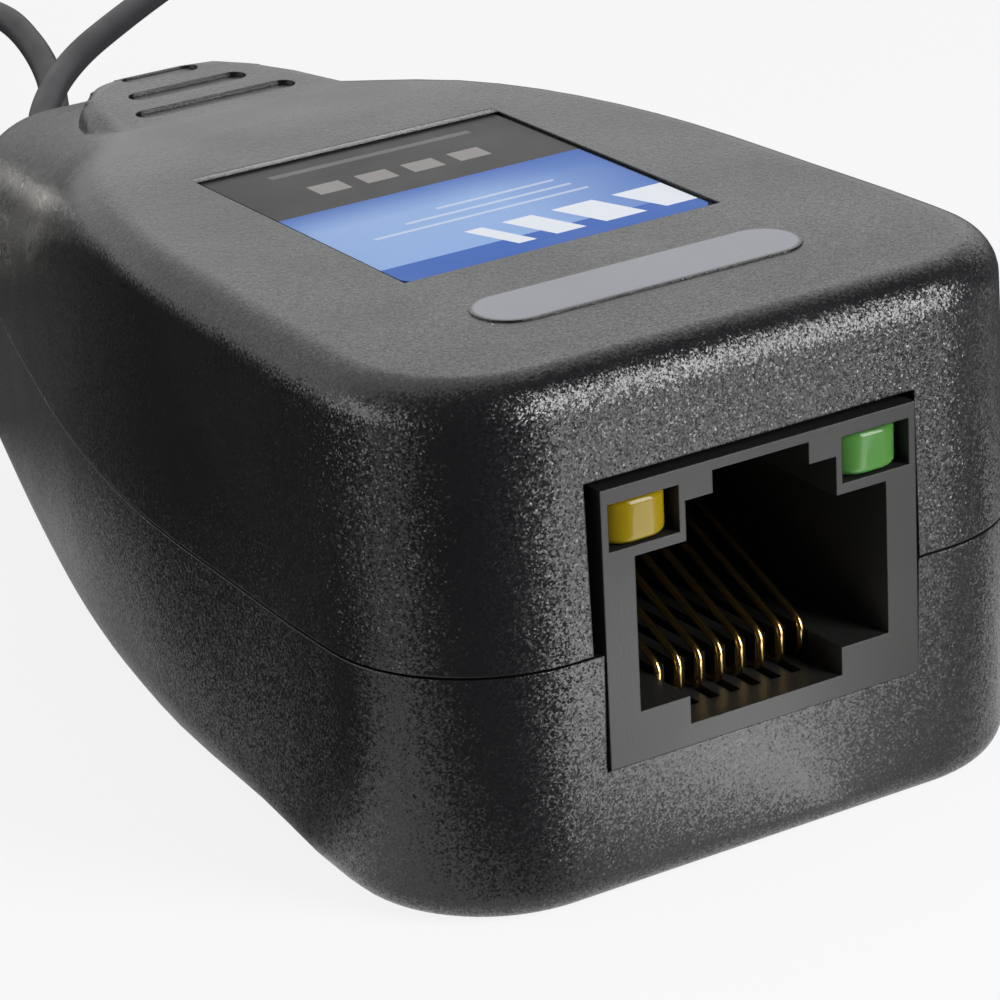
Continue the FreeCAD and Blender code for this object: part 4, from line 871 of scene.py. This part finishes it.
@dataclass
class NetworkSocket:
    """The socket with its contact wires, lamps and their legs."""

    wires: int = 8
    pitch: float = 1.02
    wire_radius: float = 0.17
    wire_sides: int = 14
    bend: float = 0.7
    bend_steps: int = 8
    pin_end: float = 3.5
    floor: float = 6.85
    front: float = -27.4
    bend_height: float = 8.55
    tip: tuple[float, float] = (-17.6, 12.8)
    pins: tuple[float, ...] = (-14.6, -13.3)

    def build(self) -> None:
        """Dresses the socket and everything in it."""
        smooth_copy("jack_housing", SOCKET, angle=MOULDED_EDGE)
        smooth_copy("contact_carrier", SHADED_INSERT, angle=MOULDED_EDGE)
        smooth_copy("yellow_lamp", YELLOW_LENS, angle=TURNED_EDGE)
        smooth_copy("green_lamp", GREEN_LENS, angle=TURNED_EDGE)
        smooth_copy("lamp_leads", TIN)
        self.contacts()

    def contact_row(self) -> Tree:
        """The rule that sweeps one wire along its path and sets it out in a row.

        Returns:
            The geometry tree.
        """
        tree, given = new_tree("contact_row", ("Wires",), ("Pitch", "First", "Radius", "Bend"))
        ring = {"Resolution": self.wire_sides, "Radius": given["Radius"]}
        ring = add(tree, "GeometryNodeCurvePrimitiveCircle", ring)
        soft = {"Curve": given["Geometry"], "Radius": given["Bend"], "Count": self.bend_steps}
        path = add(tree, "GeometryNodeFilletCurve", soft, mode="POLY")
        swept = {"Curve": path, "Profile Curve": ring, "Fill Caps": True}
        wire = add(tree, "GeometryNodeCurveToMesh", swept)
        first = add(tree, "ShaderNodeCombineXYZ", (given["First"], 0.0, 0.0))
        step = add(tree, "ShaderNodeCombineXYZ", (given["Pitch"], 0.0, 0.0))
        row = {"Count": given["Wires"], "Start Location": first, "Offset": step}
        spots = add(tree, "GeometryNodeMeshLine", row, mode="OFFSET")
        copies = add(tree, "GeometryNodeInstanceOnPoints", {"Points": spots, "Instance": wire})
        close_tree(tree, copies, GOLD)
        return tree

    def contacts(self) -> bpy.types.Object:
        """The sprung wires, in two interleaved rows with their pins apart.

        Returns:
            The contact wires.
        """
        tree = self.contact_row()
        whole = bmesh.new()
        for row, rear in enumerate(self.pins):
            curve = bpy.data.curves.new(f"contact_path_{row}", "CURVE")
            curve.dimensions = "3D"
            route = (
                (rear, self.pin_end),
                (rear, self.floor),
                (self.front, self.floor),
                (self.front, self.bend_height),
                self.tip,
            )
            spline = curve.splines.new("POLY")
            spline.points.add(len(route) - 1)
            for point, (y, z) in zip(spline.points, route):
                point.co = (0, y * MM, z * MM, 1)
            sizes = {
                "Wires": self.wires // 2,
                "Pitch": 2 * self.pitch * MM,
                "First": (row - (self.wires - 1) / 2) * self.pitch * MM,
                "Radius": self.wire_radius * MM,
                "Bend": self.bend * MM,
            }
            whole.from_mesh(baked(curve, tree, sizes))
        mesh = bpy.data.meshes.new("contact_wires_dressed")
        whole.to_mesh(mesh)
        whole.free()
        piece = new_piece("contact_wires_dressed", mesh, GOLD, Body.HOUSING)
        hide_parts("contact_wires")
        return piece


@dataclass
class Circuit:
    """The board and what stands on it."""

    core_middle: Point = (0.0, 8.0, 9.2)
    core_inner: float = 2.2
    core_outer: float = 4.4
    core_height: float = 3.0
    turns: int = 11
    sweep: float = 122.0
    wire_radius: float = 0.2
    wire_sides: int = 10
    turn_corner: float = 0.35
    turn_steps: int = 4
    clearance: float = 0.05

    def build(self) -> None:
        """Dresses the board."""
        paint_node("circuit_board", LAMINATE)
        for node in ("balun_base", "balun_saddle", "surge_suppressor"):
            paint_node(node, EPOXY)
        smooth_copy("balun_core", FERRITE)
        for node in ("power_fuse", "ceramic_capacitors", "resistors"):
            smooth_copy(node, CERAMIC, angle=DIPPED_EDGE)
        smooth_copy("lead_cores", TIN, angle=DIPPED_EDGE)
        self.winding("line_winding", 180.0, RED_WIRE)
        self.winding("video_winding", 0.0, GREEN_WIRE)

    def winding_rule(self, finish: Finish) -> Tree:
        """The rule that lays single turns of wire round one side of a ring core.

        Args:
            finish: The wire's enamel.

        Returns:
            The geometry tree.
        """
        sizes = ("Start", "Step", "Middle Radius", "Width", "Height", "Wire Radius")
        tree, given = new_tree(f"turns_of_{finish.name}", ("Turns",), sizes)
        ring = {"Resolution": self.wire_sides, "Radius": given["Wire Radius"]}
        ring = add(tree, "GeometryNodeCurvePrimitiveCircle", ring)
        around = {"Width": given["Width"], "Height": given["Height"]}
        around = add(tree, "GeometryNodeCurvePrimitiveQuadrilateral", around)
        around = {"Curve": around, "Radius": self.turn_corner * MM, "Count": self.turn_steps}
        around = add(tree, "GeometryNodeFilletCurve", around, mode="POLY")
        turn = add(tree, "GeometryNodeCurveToMesh", {"Curve": around, "Profile Curve": ring})
        index = add(tree, "GeometryNodeInputIndex")
        angle = (index, given["Step"], given["Start"])
        angle = add(tree, "ShaderNodeMath", angle, operation="MULTIPLY_ADD")
        x = add(tree, "ShaderNodeMath", (angle,), operation="COSINE")
        y = add(tree, "ShaderNodeMath", (angle,), operation="SINE")
        place = add(tree, "ShaderNodeCombineXYZ", (x, y, 0.0))
        place = {0: place, "Scale": given["Middle Radius"]}
        place = add(tree, "ShaderNodeVectorMath", place, operation="SCALE")
        spots = add(tree, "GeometryNodePoints", {"Count": given["Turns"], "Position": place})
        lean = add(tree, "ShaderNodeCombineXYZ", (math.pi / 2, 0.0, angle))
        copies = {"Points": spots, "Instance": turn, "Rotation": lean}
        close_tree(tree, add(tree, "GeometryNodeInstanceOnPoints", copies), finish)
        return tree

    def winding(self, node: str, facing: float, finish: Finish) -> bpy.types.Object:
        """The turns of one winding.

        Args:
            node: The CAD band that the turns replace.
            facing: The middle of the winding, in degrees from +X.
            finish: The wire's enamel.

        Returns:
            The winding piece.
        """
        clear = 2 * (self.clearance + self.wire_radius)
        sizes = {
            "Turns": self.turns,
            "Start": math.radians(facing - self.sweep / 2),
            "Step": math.radians(self.sweep / (self.turns - 1)),
            "Middle Radius": (self.core_inner + self.core_outer) / 2 * MM,
            "Width": (self.core_outer - self.core_inner + clear) * MM,
            "Height": (self.core_height + clear) * MM,
            "Wire Radius": self.wire_radius * MM,
        }
        mesh = baked(bpy.data.meshes.new(f"{node}_start"), self.winding_rule(finish), sizes)
        mesh.transform(Matrix.Translation(Vector(self.core_middle) * MM))
        piece = new_piece(f"{node}_dressed", mesh, finish, Body.HOUSING)
        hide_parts(node)
        return piece


@dataclass(frozen=True)
class Softbox:
    """A soft rectangular lamp, in millimetres and watts."""

    name: str
    place: Point
    target: Point
    size: tuple[float, float]
    watts: float

    def build(self) -> None:
        """Hangs the lamp out of the camera's sight."""
        data = bpy.data.lights.new(self.name, "AREA")
        data.shape = "RECTANGLE"
        data.size, data.size_y = (side * MM for side in self.size)
        data.energy = self.watts
        lamp = bpy.data.objects.new(self.name, data)
        lamp.visible_camera = False
        lamp.location = Vector(self.place) * MM
        way = Vector(self.target) - Vector(self.place)
        lamp.rotation_euler = way.to_track_quat("-Z", "Y").to_euler()
        bpy.context.scene.collection.objects.link(lamp)


LAMPS = (
    # Even light from above.
    Softbox("lamp_top_softbox", (-60, 60, 330), (0, 0, 10), (260, 260), 0.08),
    # Light on the far edges and the leads.
    Softbox("lamp_back_softbox", (170, 240, 150), (0, 0, 18), (260, 200), 0.045),
    # The tall window in the bright upper edge of the front.
    Softbox("lamp_key_softbox", (122, -236, 130), (0, -30, 130), (110, 225), 1.3),
    # The card on the table that the front face mirrors.
    Softbox("lamp_table_card", (19.6, -64, 0.9), (18.6, -62.6, 100.9), (14, 72), 0.0112),
    # Light on the left side and its corner.
    Softbox("lamp_left_softbox", (-275, 48, 40), (0, 0, 12), (260, 150), 0.42),
)


@dataclass
class Studio:
    """The camera of the photograph, the pale floor and the soft lamps."""

    camera_place: Point = (-96.72, -166.86, 83.64)
    camera_right: Point = (0.83965, -0.54102, -0.04821)
    camera_up: Point = (0.24023, 0.29029, 0.92627)
    camera_back: Point = (-0.4871, -0.7893, 0.3737)
    lens: float = 163.0
    sensor: float = 36.0
    sight: tuple[float, float] = (0.005, 20.0)
    background: str = "#fafafa"
    shade: float = 0.025
    backdrop_way: Point = (0.1, -1.0, 0.0)
    backdrop_edge: float = 0.45
    room_color: str = "#e9edf2"
    room_light: float = 0.32
    floor_reach: float = 4.0
    floor_color: str = "#f4f4f4"
    floor_glow: float = 0.9
    right_edge: tuple[float, float] = (-16.0, -7.0)
    left_edge: tuple[float, float] = (-24.0, -16.0)
    left_lean: float = 0.36
    front_edge: tuple[float, float] = (-32.0, -22.0)
    front_lean: float = 1.19
    front_light: float = 0.12
    strip_middle: float = -25.0
    strip_edge: tuple[float, float] = (5.0, 9.0)
    pool_reach: tuple[float, float] = (18.0, 34.0)
    pool_edge: tuple[float, float] = (0.85, 1.15)
    pool_light: float = 0.55

    def build(self) -> None:
        """Sets up the whole studio."""
        self.camera()
        self.floor()
        self.world()
        for lamp in LAMPS:
            lamp.build()

    def camera(self) -> bpy.types.Object:
        """The camera, at the photograph's viewing angle.

        Returns:
            The camera.
        """
        data = bpy.data.cameras.new("camera")
        data.sensor_width = self.sensor
        data.lens = self.lens
        data.clip_start, data.clip_end = self.sight
        camera = bpy.data.objects.new("camera", data)
        columns = (self.camera_right, self.camera_up, self.camera_back)
        turn = Matrix([[column[row] for column in columns] for row in range(3)]).to_4x4()
        camera.matrix_world = Matrix.Translation(Vector(self.camera_place) * MM) @ turn
        bpy.context.scene.collection.objects.link(camera)
        bpy.context.scene.camera = camera
        return camera

    def floor(self) -> bpy.types.Object:
        """A wide pale floor that keeps the object's shadow.

        Returns:
            The floor.
        """
        mesh = bpy.data.meshes.new("floor")
        reach = self.floor_reach
        corners = [(-reach, -reach, 0), (reach, -reach, 0), (reach, reach, 0), (-reach, reach, 0)]
        mesh.from_pydata(corners, [], [(0, 1, 2, 3)])
        made = bpy.data.materials.new("pale_floor")
        made.use_nodes = True
        tree = made.node_tree
        tree.nodes.clear()
        place = add(tree, "ShaderNodeTexCoord", out="Object")
        bright = self.mirrored_floor(tree, place)
        share, strength = self.background_rays(tree, bright, self.floor_glow)
        diffuse = add(tree, "ShaderNodeBsdfDiffuse", (linear(self.floor_color),))
        glow = add(tree, "ShaderNodeEmission", (linear(self.background), strength))
        mixed = add(tree, "ShaderNodeMixShader", (share, diffuse, glow))
        add(tree, "ShaderNodeOutputMaterial", (mixed,))
        mesh.materials.append(made)
        floor = bpy.data.objects.new("floor", mesh)
        bpy.context.scene.collection.objects.link(floor)
        return floor

    def mirrored_floor(self, tree: Tree, place: Socket) -> Socket:
        """How bright the floor is in the object's glossy faces.

        It is bright to the right of a few soft edges, in a pool under the object, and in a strip
        across that the left corner mirrors.

        Args:
            tree: The floor's tree.
            place: Object coordinates.

        Returns:
            The brightness, from the shade to 1.
        """
        x = add(tree, "ShaderNodeSeparateXYZ", (place,))
        y = x.node.outputs[1]
        edges = (
            (0.0, self.right_edge, self.shade, 1.0),
            (self.left_lean, self.left_edge, self.shade, 1.0),
            (self.front_lean, self.front_edge, 1.0, self.front_light),
        )
        bright = 1.0
        for lean, (start, end), before, after in edges:
            along = add(tree, "ShaderNodeMath", (y, lean, x), operation="MULTIPLY_ADD")
            edge = add(tree, "ShaderNodeMapRange", (along, start * MM, end * MM, before, after))
            bright = add(tree, "ShaderNodeMath", (bright, edge), operation="MINIMUM")
        strip = add(tree, "ShaderNodeMath", (y, self.strip_middle * MM), operation="SUBTRACT")
        strip = add(tree, "ShaderNodeMath", (strip,), operation="ABSOLUTE")
        start, end = (limit * MM for limit in self.strip_edge)
        strip = add(tree, "ShaderNodeMapRange", (strip, start, end, 1.0, self.shade))
        pool = (place, (*(1 / (reach * MM) for reach in self.pool_reach), 0.0))
        pool = add(tree, "ShaderNodeVectorMath", pool, operation="MULTIPLY")
        pool = add(tree, "ShaderNodeVectorMath", (pool,), out="Value", operation="LENGTH")
        pool = add(tree, "ShaderNodeMapRange", (pool, *self.pool_edge, self.pool_light, self.shade))
        for other in (pool, strip):
            bright = add(tree, "ShaderNodeMath", (bright, other), operation="MAXIMUM")
        return bright

    def world(self) -> None:
        """A dim room with a white backdrop behind the object, which is the camera's background."""
        world = bpy.data.worlds.new("studio_world")
        world.use_nodes = True
        tree = world.node_tree
        tree.nodes.clear()
        ahead = add(tree, "ShaderNodeNewGeometry", out="Incoming")
        ahead = (ahead, self.backdrop_way)
        ahead = add(tree, "ShaderNodeVectorMath", ahead, out="Value", operation="DOT_PRODUCT")
        bright = add(tree, "ShaderNodeMapRange", (ahead, 0.0, self.backdrop_edge, self.shade, 1.0))
        share, strength = self.background_rays(tree, bright, 1.0)
        soft = add(tree, "ShaderNodeBackground", (linear(self.room_color), self.room_light))
        plain = add(tree, "ShaderNodeBackground", (linear(self.background), strength))
        mixed = add(tree, "ShaderNodeMixShader", (share, soft, plain))
        add(tree, "ShaderNodeOutputWorld", (mixed,))
        bpy.context.scene.world = world

    def background_rays(self, tree: Tree, bright: Socket, share: float) -> tuple[Socket, Socket]:
        """Which rays see the background colour itself: the camera's, and those off glossy surfaces.

        Args:
            tree: The tree of the floor or the world.
            bright: How bright a mirror ray sees this place.
            share: How much of the background colour the camera sees. The rest is light and shadow.

        Returns:
            The share of the background colour, and its strength.
        """
        camera = add(tree, "ShaderNodeLightPath", out="Is Camera Ray")
        rays = camera.node.outputs
        mirror = (rays["Is Glossy Ray"], rays["Is Transmission Ray"])
        mirror = add(tree, "ShaderNodeMath", mirror, operation="ADD")
        seen = (camera, share, mirror)
        seen = add(tree, "ShaderNodeMath", seen, operation="MULTIPLY_ADD", use_clamp=True)
        return seen, add(tree, "ShaderNodeMath", (camera, bright), operation="MAXIMUM")


def main() -> None:
    """Builds every piece in order."""
    logging.basicConfig(level=logging.INFO, format="%(name)s: %(message)s")
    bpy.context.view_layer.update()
    bpy.context.scene.view_settings.view_transform = "Standard"
    for part in (Studio(), Leads(), Housing(), NetworkSocket(), Circuit()):
        LOG.info("building %s", type(part).__name__)
        part.build()
    bpy.context.view_layer.update()


if __name__ == "__main__":
    main()
